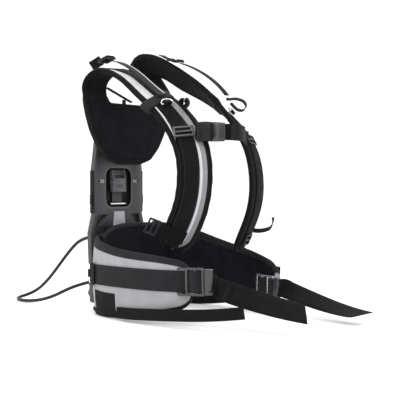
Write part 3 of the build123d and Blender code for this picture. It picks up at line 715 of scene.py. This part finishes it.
def pad_binding(side):
    """Tape folded round both edges of a shoulder pad, and its stitching."""
    runs = []
    for sign, name in ((-1, "outer"), (1, "inner")):
        rows = []
        seam = []
        for u in shares(0.004, 0.998, PAD_STEPS):
            section = section_of(side, u)
            half = PAD_WIDTH / 2 * pad_taper(u)
            ripple = 0.7 * math.sin(u * STRAPS[side][0].length / PIPING_PITCH * 2)
            profile = []
            for share in (1.0, 0.66, 0.33, 0.0):
                x = half - BINDING_WIDTH * share
                profile.append((x, pad_height(x, half) + 0.9))
            profile.append((half + 1.6 + ripple * 0.5, 1.6))
            profile += [(half + 1.9 + ripple * 0.5, 0.0)]
            profile += [(x, -y) for x, y in reversed(profile[:-1])]
            move = -root_flare(side, u) if sign < 0 else 0.0
            rows.append([spot(section, sign * x + move, y) for x, y in profile])
            x = half - BINDING_WIDTH * 0.8
            seam.append((spot(section, sign * x + move, pad_height(x, half) + 1.0), section["out"]))
        tape = skin(f"pad_binding_{name}_{side}", rows, "yoke", [BINDING_BLACK], smooth=60.0)
        runs.append(seam)
    stitches(f"pad_stitching_{side}", runs, "yoke", THREAD)


def strap_webbing(side):
    sections = [section_of(side, u, WEB_LIFT + 0.6) for u in shares(WEB_START_U[side], 0.985, 60)]
    for u, section in zip(shares(WEB_START_U[side], 0.985, 60), sections):
        travel = (u - CHEST_U[side]) * STRAPS[side][0].length / (20.0 * MM)
        rise = (CHEST_LIFT[side] - 4.5) * math.exp(-travel * travel)
        section["origin"] = spot(section, WEB_SHIFT[side], rise)
    web = band(f"webbing_{side}", sections, STRAP_WEB, WEB_THICKNESS, "yoke", WEB_BLACK)
    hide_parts(f"strap_webbing_{side}")
    stitches(f"webbing_stitching_{side}", edge_runs(sections, STRAP_WEB), "yoke", THREAD)


def keeper(side):
    """The elastic band round the pad and the load lifter."""
    rows = []
    reach = 16.0 if side == "right" else 12.0
    slant = -0.3 if side == "right" else 0.0
    for z in (-reach, 0.8 - reach, -6.0, 0.0, 6.0, reach - 0.8, reach):
        thin = 0.4 if abs(z) == reach else 1.0
        section = section_of(side, KEEPER_U[side])
        slack = KEEPER_SLACK[side]
        half = PAD_WIDTH / 2 + 2.4 + slack / 2
        ring = []
        for i in range(28):
            angle = 2 * math.pi * i / 28
            c, sine = math.cos(angle), math.sin(angle)
            x = math.copysign(abs(c) ** 0.55, c) * (half + thin)
            y = math.copysign(abs(sine) ** 0.75, sine) * (PAD_THICKNESS / 2 + 2.4 + thin)
            ring.append(spot(section, x - slack / 2, y, z + slant * x))
        rows.append(ring)
    return rows


def keepers():
    for side in STRAPS:
        m = WEB_DARK if side == "right" else WEB_BLACK
        skin(f"keeper_{side}", keeper(side), "yoke", [m], smooth=60.0)
    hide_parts("keepers")


def thread_lock(name, section, length, frame_width, bars, thickness, width, body, m=WEB_BLACK):
    """Webbing that weaves over and under the bars of a ladder lock."""
    pitch = (length - frame_width) / bars
    lift = thickness / 2 + WEB_THICKNESS / 2 + 0.3
    reach = length / 2 + 1.0
    sections = []
    for z in np.linspace(-reach, reach, 40):
        wave = math.cos(math.pi * (z + (length - frame_width) / 2) / pitch)
        origin = spot(section, 0.0, math.copysign(abs(wave) ** 0.8, wave) * lift, z)
        sections.append(placed(origin, section["side"], section["out"], section["along"]))
    return band(name, sections, width, WEB_THICKNESS, body, m)


def lifter_lock_frame(side):
    """Where the ladder lock behind a load lifter sits."""
    path = Path(RIGHT_LIFTER if side == "right" else LEFT_LIFTER)
    start = strap_frame(path, [(0.0, 0.0), (1.0, 0.0)], 0.0)
    angle = math.radians(LIFTER_LOCK_TILT[side])
    along = unit(start["along"] * math.cos(angle) + start["out"] * math.sin(angle))
    origin = start["origin"] - start["along"] * 21.0 * MM + start["out"] * 2.0 * MM
    return placed(origin, start["side"], unit(np.cross(along, start["side"])), along)


def load_lifter(side):
    path = Path(RIGHT_LIFTER if side == "right" else LEFT_LIFTER)
    twist = [(0.0, 0.0), (1.0, 12.0 if side == "right" else -6.0)]
    sections = [strap_frame(path, twist, u) for u in shares(0.0, 1.0, 30)]
    m = WEB_DARK if side == "right" else WEB_BLACK
    web = band(f"lifter_{side}", sections, LIFTER_WEB, WEB_THICKNESS, "yoke", m)
    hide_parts(f"lifter_webbing_{side}")
    if side == "right":
        low = [strap_frame(path, twist, u) for u in shares(0.18, 0.97, 24)]
        rows = [[spot(s, x, y) for x, y in ((8.6, 1.0), (12.2, 1.0), (12.2, 1.5), (8.6, 1.5))] for s in low]
        skin("lifter_edge_piping", rows, "yoke", [WEB_LIGHT], smooth=60.0)
    start = strap_frame(path, [(0.0, 0.0), (1.0, 0.0)], 0.0)
    origin = start["origin"] - start["along"] * 0.040
    right = side == "right"
    drop = unit(np.array([0.0, 1.0, -0.35 if right else 0.5]))
    across = np.array([-0.45, 0.0, 0.9]) if right else X_AXIS
    across = unit(across - drop * np.dot(across, drop))
    out = unit(np.cross(drop, across))
    places = (0, 9, 18, 28, 40 if right else 34)
    tail = [placed(origin + drop * z * MM, across, out, drop) for z in places]
    lock = lifter_lock_frame(side)
    body = f"lifter_lock_{side}"
    thread_lock(f"lifter_thread_{side}", lock, LIFTER_LOCK_LENGTH, 4.5, 2, 6.0, LIFTER_WEB, body)
    return band(f"lifter_tail_{side}", tail, LIFTER_WEB, WEB_THICKNESS, "yoke", WEB_BLACK, curl=0.8)


for side in STRAPS:
    shoulder_pad(side)
    pad_binding(side)
    strap_webbing(side)
keepers()
tails = [load_lifter(side) for side in STRAPS]
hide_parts("lifter_tails")


# ---------------------------------------------------------------- hip belt
def wing_points(side, heights):
    sign = -1 if side == "right" else 1
    return [(sign * x, y, z) for (x, y), z in zip(WING_PLAN, heights[side])]


WINGS = {
    side: [Path(wing_points(side, heights)) for heights in (WING_TOP, WING_BOTTOM, WING_WEB_Z)]
    for side in ("right", "left")
}


def wing_point(side, u, s, depth):
    """A point of a hip wing: s from -1 at its bottom to 1 at its top, depth outward in millimetres."""
    top, bottom, _ = WINGS[side]
    high, low = top.at(u), bottom.at(u)
    low[2] = max(low[2], FLOOR_Z)
    along = top.tangent(u)
    along = unit(np.array([along[0], along[1], 0.0]))
    out = unit(np.cross(Z_AXIS, along))
    if out[0] * high[0] < 0:
        out = -out
    tip = max(0.0, (u - 0.90) / 0.10)
    squeeze = math.sqrt(max(0.0, 1 - tip**2.4)) * 0.5 + 0.5
    centre, half = (high + low) / 2, (high[2] - low[2]) / 2 * squeeze
    bulge = (1 - s * s) * 3.0
    puff = 0.7 * math.sin(u * 37.0 + s * 3.1) * math.sin(u * 11.0 - s * 5.3) * (1 - s**4)
    grow = 1.0 if depth > 0 else -1.0
    return centre + Z_AXIS * half * s + out * (depth + grow * puff + bulge - 2.0) * MM


def wing_depth(s):
    edge, middle = 2.6, WING_THICKNESS / 2
    return edge + (middle - edge) * math.sqrt(max(0.0, 1 - abs(s) ** 3.0))


UPPER_ROWS = [0.2, 0.4, 0.6, 0.75, 0.84, 0.9, 0.95, 0.985, 1.0]
WING_ROWS = [-s for s in reversed(UPPER_ROWS)] + [0.0] + UPPER_ROWS


def hip_wing(side):
    rows = []
    for u in shares(0.0, 1.0, 72):
        front = [wing_point(side, u, s, wing_depth(s)) for s in WING_ROWS]
        back = [wing_point(side, u, s, -wing_depth(s)) for s in reversed(WING_ROWS)]
        rows.append(front + back)
    outer = len(WING_ROWS) - 1
    faces = [GREY, MESH]
    wing = skin(f"wing_{side}", rows, "back_frame", faces, lambda i, j: 0 if j < outer else 1)
    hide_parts(f"hip_wing_{side}")
    runs = []
    for name, start, lap, m in (("top", 1.0, 0.80, BINDING), ("bottom", -1.0, -0.86, BINDING_BLACK)):
        rows, seam = [], []
        for u in shares(0.0, 1.0, 90):
            steps = [start + (lap - start) * k for k in (1.0, 0.75, 0.5, 0.25, 0.08)]
            tape = [wing_point(side, u, s, wing_depth(s) + 1.0) for s in steps]
            crest = wing_point(side, u, start, 0.0) + Z_AXIS * 1.6 * MM * start
            crest[2] = max(crest[2], FLOOR_Z)
            tape.append(crest)
            tape += [wing_point(side, u, s, -wing_depth(s) - 1.0) for s in reversed(steps)]
            rows.append(tape)
            s = start + (lap - start) * 0.86
            place = wing_point(side, u, s, wing_depth(s) + 1.2)
            seam.append((place, upright_frame(WINGS[side][0], u)["out"]))
        skin(f"wing_binding_{name}_{side}", rows, "back_frame", [m], smooth=60.0)
        runs.append(seam)
    stitches(f"wing_stitching_{side}", runs, "back_frame", THREAD)


def wing_section(side, u, lift=0.0):
    """A section of the belt's line of webbing, on the wing's outer face."""
    return upright_frame(WINGS[side][2], u, WING_THICKNESS / 2 + 4 * GAP + WEB_THICKNESS / 2 + lift)


def wing_webbing(side):
    sections = [wing_section(side, u) for u in shares(0.03, 0.99, 48)]
    web = band(f"belt_webbing_{side}", sections, WAIST_WEB, WEB_THICKNESS, "back_frame", WEB_DARK)
    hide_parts(f"wing_webbing_{side}")
    fold = [wing_section(side, u, WEB_THICKNESS + 0.3) for u in shares(0.045, 0.145, 8)]
    band(f"belt_fold_{side}", fold, WAIST_WEB - 1.0, 2.4, "back_frame", WEB_DARK)
    loop = [wing_section(side, u, WEB_THICKNESS + 2.6) for u in shares(0.16, 0.225, 8)]
    band(f"belt_keeper_{side}", loop, WAIST_WEB + 5.0, 2.0, "back_frame", WEB_BLACK, curl=0.8)
    across = wing_section(side, 0.13, WEB_THICKNESS + 1.6)
    runs = edge_runs(sections, WAIST_WEB) + cross_runs(across, 21.0, (-2.0, 1.0))
    stitches(f"belt_stitching_{side}", runs, "back_frame", THREAD)


def tail(side, points, lean_start, lean_end):
    path = Path(points)
    turn = lean_end - lean_start
    sections = [upright_frame(path, u, 0.0, lean_start + turn * u) for u in shares(0.0, 1.0, 40)]
    sign = 1.0 if side == "right" else -1.0
    profile = web_profile(WAIST_WEB, WEB_THICKNESS)
    rows = []
    for i, section in enumerate(sections):
        near_end = max(0.0, (i - 34) / 6)
        cut = [-(x / WAIST_WEB) * 26.0 * near_end * sign for x, _ in profile]
        rows.append([spot(section, x, y, z - 13.0 * near_end) for (x, y), z in zip(profile, cut)])
    web = skin(f"tail_{side}", rows, "back_frame", [WEB_BLACK], smooth=50.0)
    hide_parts(f"waist_tail_{side}")


def bottom_strap():
    path = Path(BOTTOM_STRAP)
    sections = [upright_frame(path, u, 3.0) for u in shares(0.0, 1.0, 40)]
    web = band("under_strap", sections, LIFTER_WEB + 3, WEB_THICKNESS, "back_frame", WEB_BLACK)
    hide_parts("bottom_strap")


def waist_lock_frame(side):
    """Where the ladder lock at the tip of a hip wing sits."""
    if side == "right":
        place = upright_frame(WINGS[side][2], 1.0, WING_THICKNESS / 2 + 8.0)
        place["origin"] = place["origin"] + place["along"] * 3.0 * MM
        return place
    place = upright_frame(WINGS[side][2], 0.93, -WING_THICKNESS / 2 - 10.0)
    place["origin"] = place["origin"] - Z_AXIS * 29.0 * MM
    return place


def belt_end(side):
    """The webbing woven through the waist lock, and the folded link on to the long tail."""
    section = waist_lock_frame(side)
    name, body = f"belt_thread_{side}", f"waist_lock_{side}"
    thread_lock(name, section, WAIST_LOCK_LENGTH, 5.0, 3, 5.0, WAIST_WEB, body, WEB_DARK)
    start = spot(section, 0.0, 0.0, WAIST_LOCK_LENGTH / 2 + (24.0 if side == "right" else 6.0))
    if side == "right":
        link = [start / MM, (-157, -481, -201), (-155, -490, -205), (-152, -502, -209), (-149, -516, -213)]
        lean = 25.0
    else:
        first = Path(LEFT_TAIL)
        link = [start / MM, (start / MM + first.at(0.0) / MM) / 2, first.at(0.0) / MM, first.at(0.06) / MM,
                first.at(0.12) / MM]
        lean = 42.0
    path = Path(link)
    for name, lift in (("inner", -2.0), ("outer", 2.2)):
        sections = [upright_frame(path, u, lift, lean * u) for u in shares(0.0, 1.0, 16)]
        band(f"belt_link_{name}_{side}", sections, WAIST_WEB - 4.0, 2.2, "back_frame", WEB_BLACK)
    runs = cross_runs(upright_frame(path, 0.82, 3.6, lean * 0.8), 20.0, (-2.0, 0.5))
    stitches(f"belt_link_stitching_{side}", runs, "back_frame", THREAD)


def belt_liner():
    """The padded mesh that runs on from one wing to the other across the lumbar pad."""
    right = [(-126, -78, -104), (-92, -63, -92), (-50, -53, -80), (0, -51, -76)]
    left = [(50, -53, -76), (92, -63, -78), (126, -78, -84)]
    path = Path(right + left)
    rows, trim = [], []
    for u in shares(0.0, 1.0, 60):
        section = upright_frame(path, u)
        top, along = section["origin"], section["along"]
        inward = -unit(np.array([along[1], -along[0], 0.0]))
        if inward[1] > 0:
            inward = -inward
        height = top[2] - FLOOR_Z - 0.003
        row = []
        for s in (1.0, 0.985, 0.95, 0.9, 0.7, 0.5, 0.3, 0.1, 0.0):
            depth = 1.4 + 3.2 * math.sqrt(max(0.0, 1 - abs(2 * s - 1) ** 6))
            row.append(top - Z_AXIS * height * (1 - s) + inward * depth * MM)
        for s in (0.0, 0.5, 1.0):
            row.append(top - Z_AXIS * height * (1 - s) - inward * 1.4 * MM)
        rows.append(row)
        outline = [(-9.0, 5.2), (-3.0, 4.6), (1.6, 1.8), (1.6, -1.8), (-9.0, -2.6)]
        trim.append([top + Z_AXIS * z * MM + inward * d * MM for z, d in outline])
    liner = skin("belt_liner", rows, "back_frame", [MESH], smooth=70.0)
    skin("belt_liner_binding", trim, "back_frame", [BINDING], smooth=70.0)


def belt_patch():
    """The sewn patch and the rolled edge low on the rear of the right wing."""
    rows = []
    for u in shares(0.20, 0.43, 14):
        face = [wing_point("right", u, s, wing_depth(s) + 1.3) for s in (-0.86, -0.7, -0.5, -0.3)]
        back = [wing_point("right", u, s, wing_depth(s) + 0.2) for s in (-0.3, -0.86)]
        rows.append(face + back)
    skin("belt_patch", rows, "back_frame", [WEB_BLACK], smooth=50.0)
    roll = []
    for u in shares(0.12, 0.47, 28):
        centre = wing_point("right", u, -0.86, wing_depth(-0.86) + 1.0)
        section = upright_frame(WINGS["right"][1], u)
        ring = []
        for k in range(12):
            angle = 2 * math.pi * k / 12
            size = 5.6 + 0.7 * math.sin(u * 90.0 + k)
            away = Z_AXIS * math.sin(angle) * 0.9 + section["out"] * math.cos(angle) * 0.6
            ring.append(centre + away * size * MM)
        roll.append(ring)
    skin("belt_roll", roll, "back_frame", [WEB_BLACK], smooth=70.0)


for side in WINGS:
    hip_wing(side)
    wing_webbing(side)
    belt_end(side)
belt_liner()
belt_patch()
tail("right", RIGHT_TAIL, 25.0, 48.0)
tail("left", LEFT_TAIL, 40.0, 78.0)
bottom_strap()


# ---------------------------------------------------------------- cushions
def copy_of(node, name, flat_faces=False):
    """A copy of a CAD piece with its corners welded, and each flat face made whole."""
    mesh = nodes[node].data.copy()
    mesh.materials.clear()
    built = bmesh.new()
    built.from_mesh(mesh)
    bmesh.ops.remove_doubles(built, verts=built.verts, dist=1e-5)
    if flat_faces:
        limit = math.radians(2.0)
        bmesh.ops.dissolve_limit(
            built, angle_limit=limit, verts=built.verts, edges=built.edges, use_dissolve_boundaries=False
        )
    built.to_mesh(mesh)
    built.free()
    return linked(name, mesh)


def cushion(node, name, body, m, voxel=0.0045, pressure=4.0, cap=0.005, shrink=0.0015):
    """A stuffed form from a plain CAD pad: remeshed, swollen by a cloth simulation and smoothed."""
    piece = copy_of(node, name)
    apply(piece, "REMESH", mode="VOXEL", voxel_size=voxel)
    apply(piece, "SMOOTH", factor=0.6, iterations=4)
    start = coordinates(piece)
    normals = np.array([v.normal for v in piece.data.vertices])
    start = start - normals * shrink
    set_coordinates(piece, start)
    cloth = piece.modifiers.new("cloth", "CLOTH")
    cloth.settings.use_pressure = True
    cloth.settings.uniform_pressure_force = pressure
    cloth.settings.effector_weights.gravity = 0.0
    for step in range(1, 21):
        bpy.context.scene.frame_set(step)
    posed = piece.evaluated_get(bpy.context.evaluated_depsgraph_get())
    swollen = np.array([v.co for v in posed.data.vertices])
    piece.modifiers.remove(cloth)
    bpy.context.scene.frame_set(1)
    move = swollen - start
    size = np.linalg.norm(move, axis=1, keepdims=True) + 1e-9
    set_coordinates(piece, start + move * np.minimum(1.0, cap / size))
    apply(piece, "SUBSURF", levels=1)
    piece.data.materials.append(m)
    piece.data.shade_smooth()
    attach(piece, body)
    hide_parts(node)
    return piece


def apply(piece, kind, **settings):
    modifier = piece.modifiers.new(kind.lower(), kind)
    for key, value in settings.items():
        setattr(modifier, key, value)
    bpy.context.view_layer.update()
    posed = piece.evaluated_get(bpy.context.evaluated_depsgraph_get())
    mesh = bpy.data.meshes.new_from_object(posed)
    piece.modifiers.remove(modifier)
    piece.data = mesh


def bevelled(piece, radius, angle):
    """Rounds the edges that are sharper than an angle, and shades the rest smooth."""
    apply(piece, "BEVEL", width=radius * MM, segments=2, limit_method="ANGLE", angle_limit=angle)
    piece.data.shade_smooth()
    piece.data.set_sharp_from_angle(angle=SHARP_ANGLE)


def coordinates(piece):
    flat = np.zeros(len(piece.data.vertices) * 3)
    piece.data.vertices.foreach_get("co", flat)
    return flat.reshape(-1, 3)


def set_coordinates(piece, points):
    piece.data.vertices.foreach_set("co", points.astype(np.float32).ravel())
    piece.data.update()


def rounded(points, step=3.0, rounds=9):
    """A closed outline with evenly spaced points and rounded corners."""
    dense = []
    for a, b in zip(points, points[1:] + points[:1]):
        a, b = np.array(a, float), np.array(b, float)
        count = max(1, int(np.linalg.norm(b - a) / step))
        dense += [a + (b - a) * k / count for k in range(count)]
    line = np.array(dense)
    for _ in range(rounds):
        line = (np.roll(line, 1, axis=0) + line * 2 + np.roll(line, -1, axis=0)) / 4
    return line


def yoke_binding():
    """Tape folded round the edge of the yoke, with its line of stitching."""
    outline = rounded(YOKE_HALF + [(-x, z) for x, z in reversed(YOKE_HALF)])
    turns = np.roll(outline, -1, axis=0) - np.roll(outline, 1, axis=0)
    turns /= np.linalg.norm(turns, axis=1, keepdims=True)
    centre = outline.mean(0)
    rows, seams = [], []
    for point, turn in zip(outline, turns):
        away = np.array([turn[1], -turn[0]])
        if np.dot(away, point - centre) < 0 and point[1] < 236:
            away = -away
        profile = []
        for angle in range(-90, 91, 15):
            c, sine = math.cos(math.radians(angle)), math.sin(math.radians(angle))
            reach = -4.0 + 5.6 * c**0.7
            depth = math.copysign(abs(sine) ** 0.75, sine) * (YOKE_HALF_DEPTH + 1.4)
            profile.append((reach, depth))
        profile = [(-12.5, -YOKE_HALF_DEPTH - 1.9)] + profile + [(-12.5, YOKE_HALF_DEPTH + 1.9)]
        row = []
        for reach, depth in profile:
            x, z = point + away * reach
            row.append(np.array([x, YOKE_MIDDLE_Y + depth, z]) * MM)
        rows.append(row)
        x, z = point + away * -11.0
        front = YOKE_MIDDLE_Y - YOKE_HALF_DEPTH - 2.1
        seams.append((np.array([x, front, z]) * MM, np.array([0.0, -1.0, 0.0])))
    rows.append(rows[0])
    skin("yoke_binding", rows, "yoke", [BINDING_BLACK], smooth=60.0)
    stitches("yoke_stitching", [seams + seams[:1]], "yoke", THREAD)


cushion("yoke_pad", "yoke_cushion", "yoke", MESH)
yoke_binding()
cushion("lumbar_pad", "lumbar_cushion", "back_frame", MESH)


# ---------------------------------------------------------------- other webbing
def softened(node, name, radius, m, slot):
    """A copy of a rigid CAD piece with its sharp edges rounded off."""
    piece = copy_of(node, name, flat_faces=True)
    bevelled(piece, radius, SHARP_ANGLE)
    piece.data.materials.append(m)
    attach(piece, nodes[node]["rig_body"])
    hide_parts(node)
    return piece


FINISHES = [
    (PLATE, 0.8, "plate_plastic", ["back_plate", "yoke_carriage", "lumbar_board"]),
    (DARK_PLASTIC, 0.5, "plate_plastic", ["adjuster_tray"]),
    (GREY_PLASTIC, 0.6, "plate_plastic", ["cam_base"]),
    (DARK_PLASTIC, 0.5, "trim_plastic", ["edge_trims"]),
    (LOCK_PLASTIC, 0.5, "trim_plastic", ["tension_knob"]),
    (BUCKLE_PLASTIC, 0.6, "buckle_plastic", ["chest_buckle_female"]),
    (LOCK_PLASTIC, 0.7, "buckle_plastic", ["chest_slider_right"]),
    (BUCKLE_PLASTIC, 0.7, "buckle_plastic", ["chest_slider_left", "lifter_lock_right", "lifter_lock_left"]),
    (BUCKLE_PLASTIC, 0.7, "buckle_plastic", ["lower_lock_right", "lower_lock_left"]),
    (BUCKLE_PLASTIC, 0.5, "buckle_plastic", ["yoke_post"]),
    (LOCK_PLASTIC, 0.6, "grey_plastic", ["chest_buckle_male"]),
    (GREY_PLASTIC, 0.4, "grey_plastic", ["chest_prong_upper", "chest_prong_lower"]),
    (GREY_PLASTIC, 0.6, "grey_plastic", ["cam_lever"]),
    (LOCK_PLASTIC, 0.9, "grey_plastic", ["waist_lock_right"]),
    (STEEL, 0.9, "bright_metal", ["waist_lock_left"]),
    (LOCK_PLASTIC, 1.6, "grey_plastic", ["waist_coupler_right", "waist_coupler_left"]),
    (WEB_BLACK, 0.5, "webbing", ["chest_webbing_left", "chest_webbing_right", "lower_webbing_right"]),
    (WEB_BLACK, 0.6, "webbing", ["haul_strap"]),
    (WEB_MID, 0.5, "webbing", ["adjuster_webbing"]),
    (WEB_BLACK, 0.7, "webbing", ["strap_ring_tabs"]),
    (WEB_DARK, 0.7, "webbing", ["belt_ring_tabs"]),
]
for m, radius, slot, group in FINISHES:
    for node in group:
        softened(node, node + "_finish", radius, m, slot)

RINGS = [f"{place}_ring_{side}" for place in ("strap", "belt") for side in ("right", "left")]
KEPT = {
    "mount_inserts": BRASS,
    "cable_gland": DARK_PLASTIC,
    "cable_plug": DARK_PLASTIC,
    **{node: STEEL for node in ["guide_bar", "cam_pin", "knob_shaft"] + RINGS},
}
for node, m in KEPT.items():
    for slot in nodes[node].material_slots:
        slot.material = m
    nodes[node].data.shade_smooth()
    nodes[node].data.set_sharp_from_angle(angle=SHARP_ANGLE)


# ---------------------------------------------------------------- small sewn and moulded details
def web_loop(name, origin, points, width, body, m, turn=1.0, rise=0.0):
    """A standing loop of webbing: its line is drawn across and up, its width runs towards a viewer."""
    right = np.array([math.cos(CAMERA_AZIMUTH), math.sin(CAMERA_AZIMUTH), 0.0])
    wide = np.cross(Z_AXIS, right)
    origin = np.array(origin, float)
    path = Path([origin + right * a + Z_AXIS * b for a, b in points])
    sections = []
    for u in shares(0.0, 1.0, 60):
        along = path.tangent(u)
        side = unit(wide + right * 0.25 * turn + Z_AXIS * rise)
        side = unit(side - along * np.dot(side, along))
        sections.append(placed(path.at(u), side, unit(np.cross(side, along)), along))
    return band(name, sections, width, WEB_THICKNESS + 0.4, body, m)


web_loop(
    "strap_loop_left", (122, -312, 234),
    [(-20, 16), (-10, 15), (2, 16), (14, 14), (26, 8), (31, -3), (24, -13), (10, -12), (0, -4), (-8, 5)],
    20.0, "yoke", WEB_BLACK, rise=0.4,
)
hook = web_loop(
    "lower_tail_left", (121, -383, -88), [(-6, 0), (10, -1), (24, 1), (36, 6), (43, 17), (44, 33)],
    22.0, "yoke", WEB_BLACK, rise=0.45,
)
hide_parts("lower_webbing_left")
spiral = []
for k in range(23):
    radius = 3.0 + 8.2 * k / 22
    spiral.append((radius * math.cos(k * 0.62), radius * math.sin(k * 0.62) * 1.15))
web_loop("strap_roll_right", (-106, -339, 224), spiral, 26.0, "yoke", WEB_BLACK)


def plate_slab(name, outline, y_rear, y_front, m, bevel=0.4):
    """A thin moulded piece on the back plate, from an outline in X and Z."""
    count = len(outline)
    verts = [(x * MM, y * MM, z * MM) for y in (y_rear, y_front) for x, z in outline]
    faces = [tuple(range(count)), tuple(range(2 * count - 1, count - 1, -1))]
    faces += [(i, (i + 1) % count, count + (i + 1) % count, count + i) for i in range(count)]
    mesh = bpy.data.meshes.new(name)
    mesh.from_pydata(verts, [], faces)
    piece = finish_mesh(name, mesh, "back_frame", [m])
    bevelled(piece, bevel, math.radians(30))
    return piece


def rounded_box(width, height, corner, centre_z, count=8):
    points = []
    for k, (sx, sz) in enumerate([(1, 1), (-1, 1), (-1, -1), (1, -1)]):
        for i in range(count + 1):
            angle = math.pi / 2 * (k + i / count)
            x = sx * (width / 2 - corner) + corner * math.cos(angle)
            points.append((x, centre_z + sz * (height / 2 - corner) + corner * math.sin(angle)))
    return points


def window_bevel_highlight():
    """The raised bevel round the plate's window, in grey plastic paler than the plate: a painted highlight
    along the bevel.
    """
    outer = rounded_box(106.0, 114.0, 27.0, 20.0)
    inner = rounded_box(96.5, 104.5, 22.2, 20.0)
    rows = []
    for (xo, zo), (xi, zi) in zip(outer, inner):
        middle = ((xo * 0.45 + xi * 0.55), (zo * 0.45 + zi * 0.55))
        ring = [(xo, -13.8, zo), (middle[0], -14.35, middle[1]), (xi, -13.9, zi), (xi, -11.5, zi)]
        rows.append([np.array(p) * MM for p in ring + [(xo, -13.2, zo)]])
    rows.append(rows[0])
    # The paler grey plastic stands in for the light that the bevel catches: painted highlight.
    skin("window_bevel_highlight", rows, "back_frame", [GREY_PLASTIC], smooth=50.0)


def chevrons():
    """The embossed arrows that point at the lever from both sides."""
    for sign, side in ((-1, "right"), (1, "left")):
        for k, x in enumerate((58.0, 66.0, 74.0)):
            tip, wing, thick = sign * (x - 3.5), sign * (x + 1.0), sign * 2.2
            outline = [(tip, 37), (wing, 41.5), (wing + thick, 41.5)]
            outline += [(tip + thick, 37), (wing + thick, 32.5), (wing, 32.5)]
            m = PALE_PLASTIC if k < 2 else DARK_PLASTIC
            plate_slab(f"chevron_{side}_{k}", outline, -13.8, -14.8, m, bevel=0.2)
        bump = [(sign * 92, 6), (sign * 97, 0), (sign * 97, -24), (sign * 92, -30)]
        plate_slab(f"side_bump_{side}", bump, -3.0, -12.0, DARK_PLASTIC, 0.8)


window_bevel_highlight()
chevrons()
spine = [(0.0, -44.0), (0.0, -58.0), (0.0, -72.0), (0.0, -86.0)]
spine_rows = []
for x, z in spine:
    half = STRAP_WEB / 2 * (1.0 + (-44.0 - z) / 220.0)
    ring = [(x - half, -15.0, z), (x, -14.7, z), (x + half, -15.0, z)]
    ring += [(x + half, -16.6, z), (x, -17.2, z), (x - half, -16.6, z)]
    spine_rows.append([np.array(p) * MM for p in ring])
skin("spine_webbing", spine_rows, "back_frame", [WEB_LIGHT], smooth=50.0)
for sign, side in ((-1, "right"), (1, "left")):
    brace = [(sign * 42, -54), (sign * 46, -54), (sign * 86, -88), (sign * 86, -93)]
    plate_slab(f"pocket_brace_{side}", brace, -2.5, -9.0, PLATE, bevel=0.6)


def buckle_ribs():
    """Ribs round the chest buckle's two halves.

    They follow the world's axes, not the buckle's, so they stand out of its faces.
    """
    for node, name, m, count, share in (
        ("chest_buckle_female", "female", BUCKLE_PLASTIC, 6, (0.08, 0.92)),
        ("chest_buckle_male", "male", LOCK_PLASTIC, 4, (0.12, 0.80)),
    ):
        low, high = [np.array(corner, float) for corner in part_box(node)]
        body = nodes[node]["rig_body"]
        middle, half = (low + high) / 2, (high - low) / 2
        for k in range(count):
            x = low[0] + (high[0] - low[0]) * (share[0] + (share[1] - share[0]) * (k + 0.5) / count)
            rows = []
            for dx in (-1.9, -1.3, 0.0, 1.3, 1.9):
                grow = 1.1 * (1 - (dx / 1.9) ** 2) * MM + 0.05 * MM
                ring = []
                for i in range(24):
                    angle = 2 * math.pi * i / 24
                    c, sine = math.cos(angle), math.sin(angle)
                    y = math.copysign(abs(c) ** 0.35, c) * (half[1] + grow)
                    z = math.copysign(abs(sine) ** 0.35, sine) * (half[2] * 0.96 + grow)
                    ring.append(np.array([x + dx * MM, middle[1] + y, middle[2] + z]))
                rows.append(ring)
            skin(f"buckle_rib_{name}_{k}", rows, body, [m], smooth=60.0)


buckle_ribs()


def lever_ribs():
    """Grip ribs across the top of the lever's base."""
    for k in range(4):
        z = 66.0 - k * 3.0
        ridge = [(-15, z), (15, z), (15, z + 1.3), (-15, z + 1.3)]
        plate_slab(f"lever_rib_{k}", ridge, -7.0, -8.2, BUCKLE_PLASTIC, bevel=0.3)


lever_ribs()
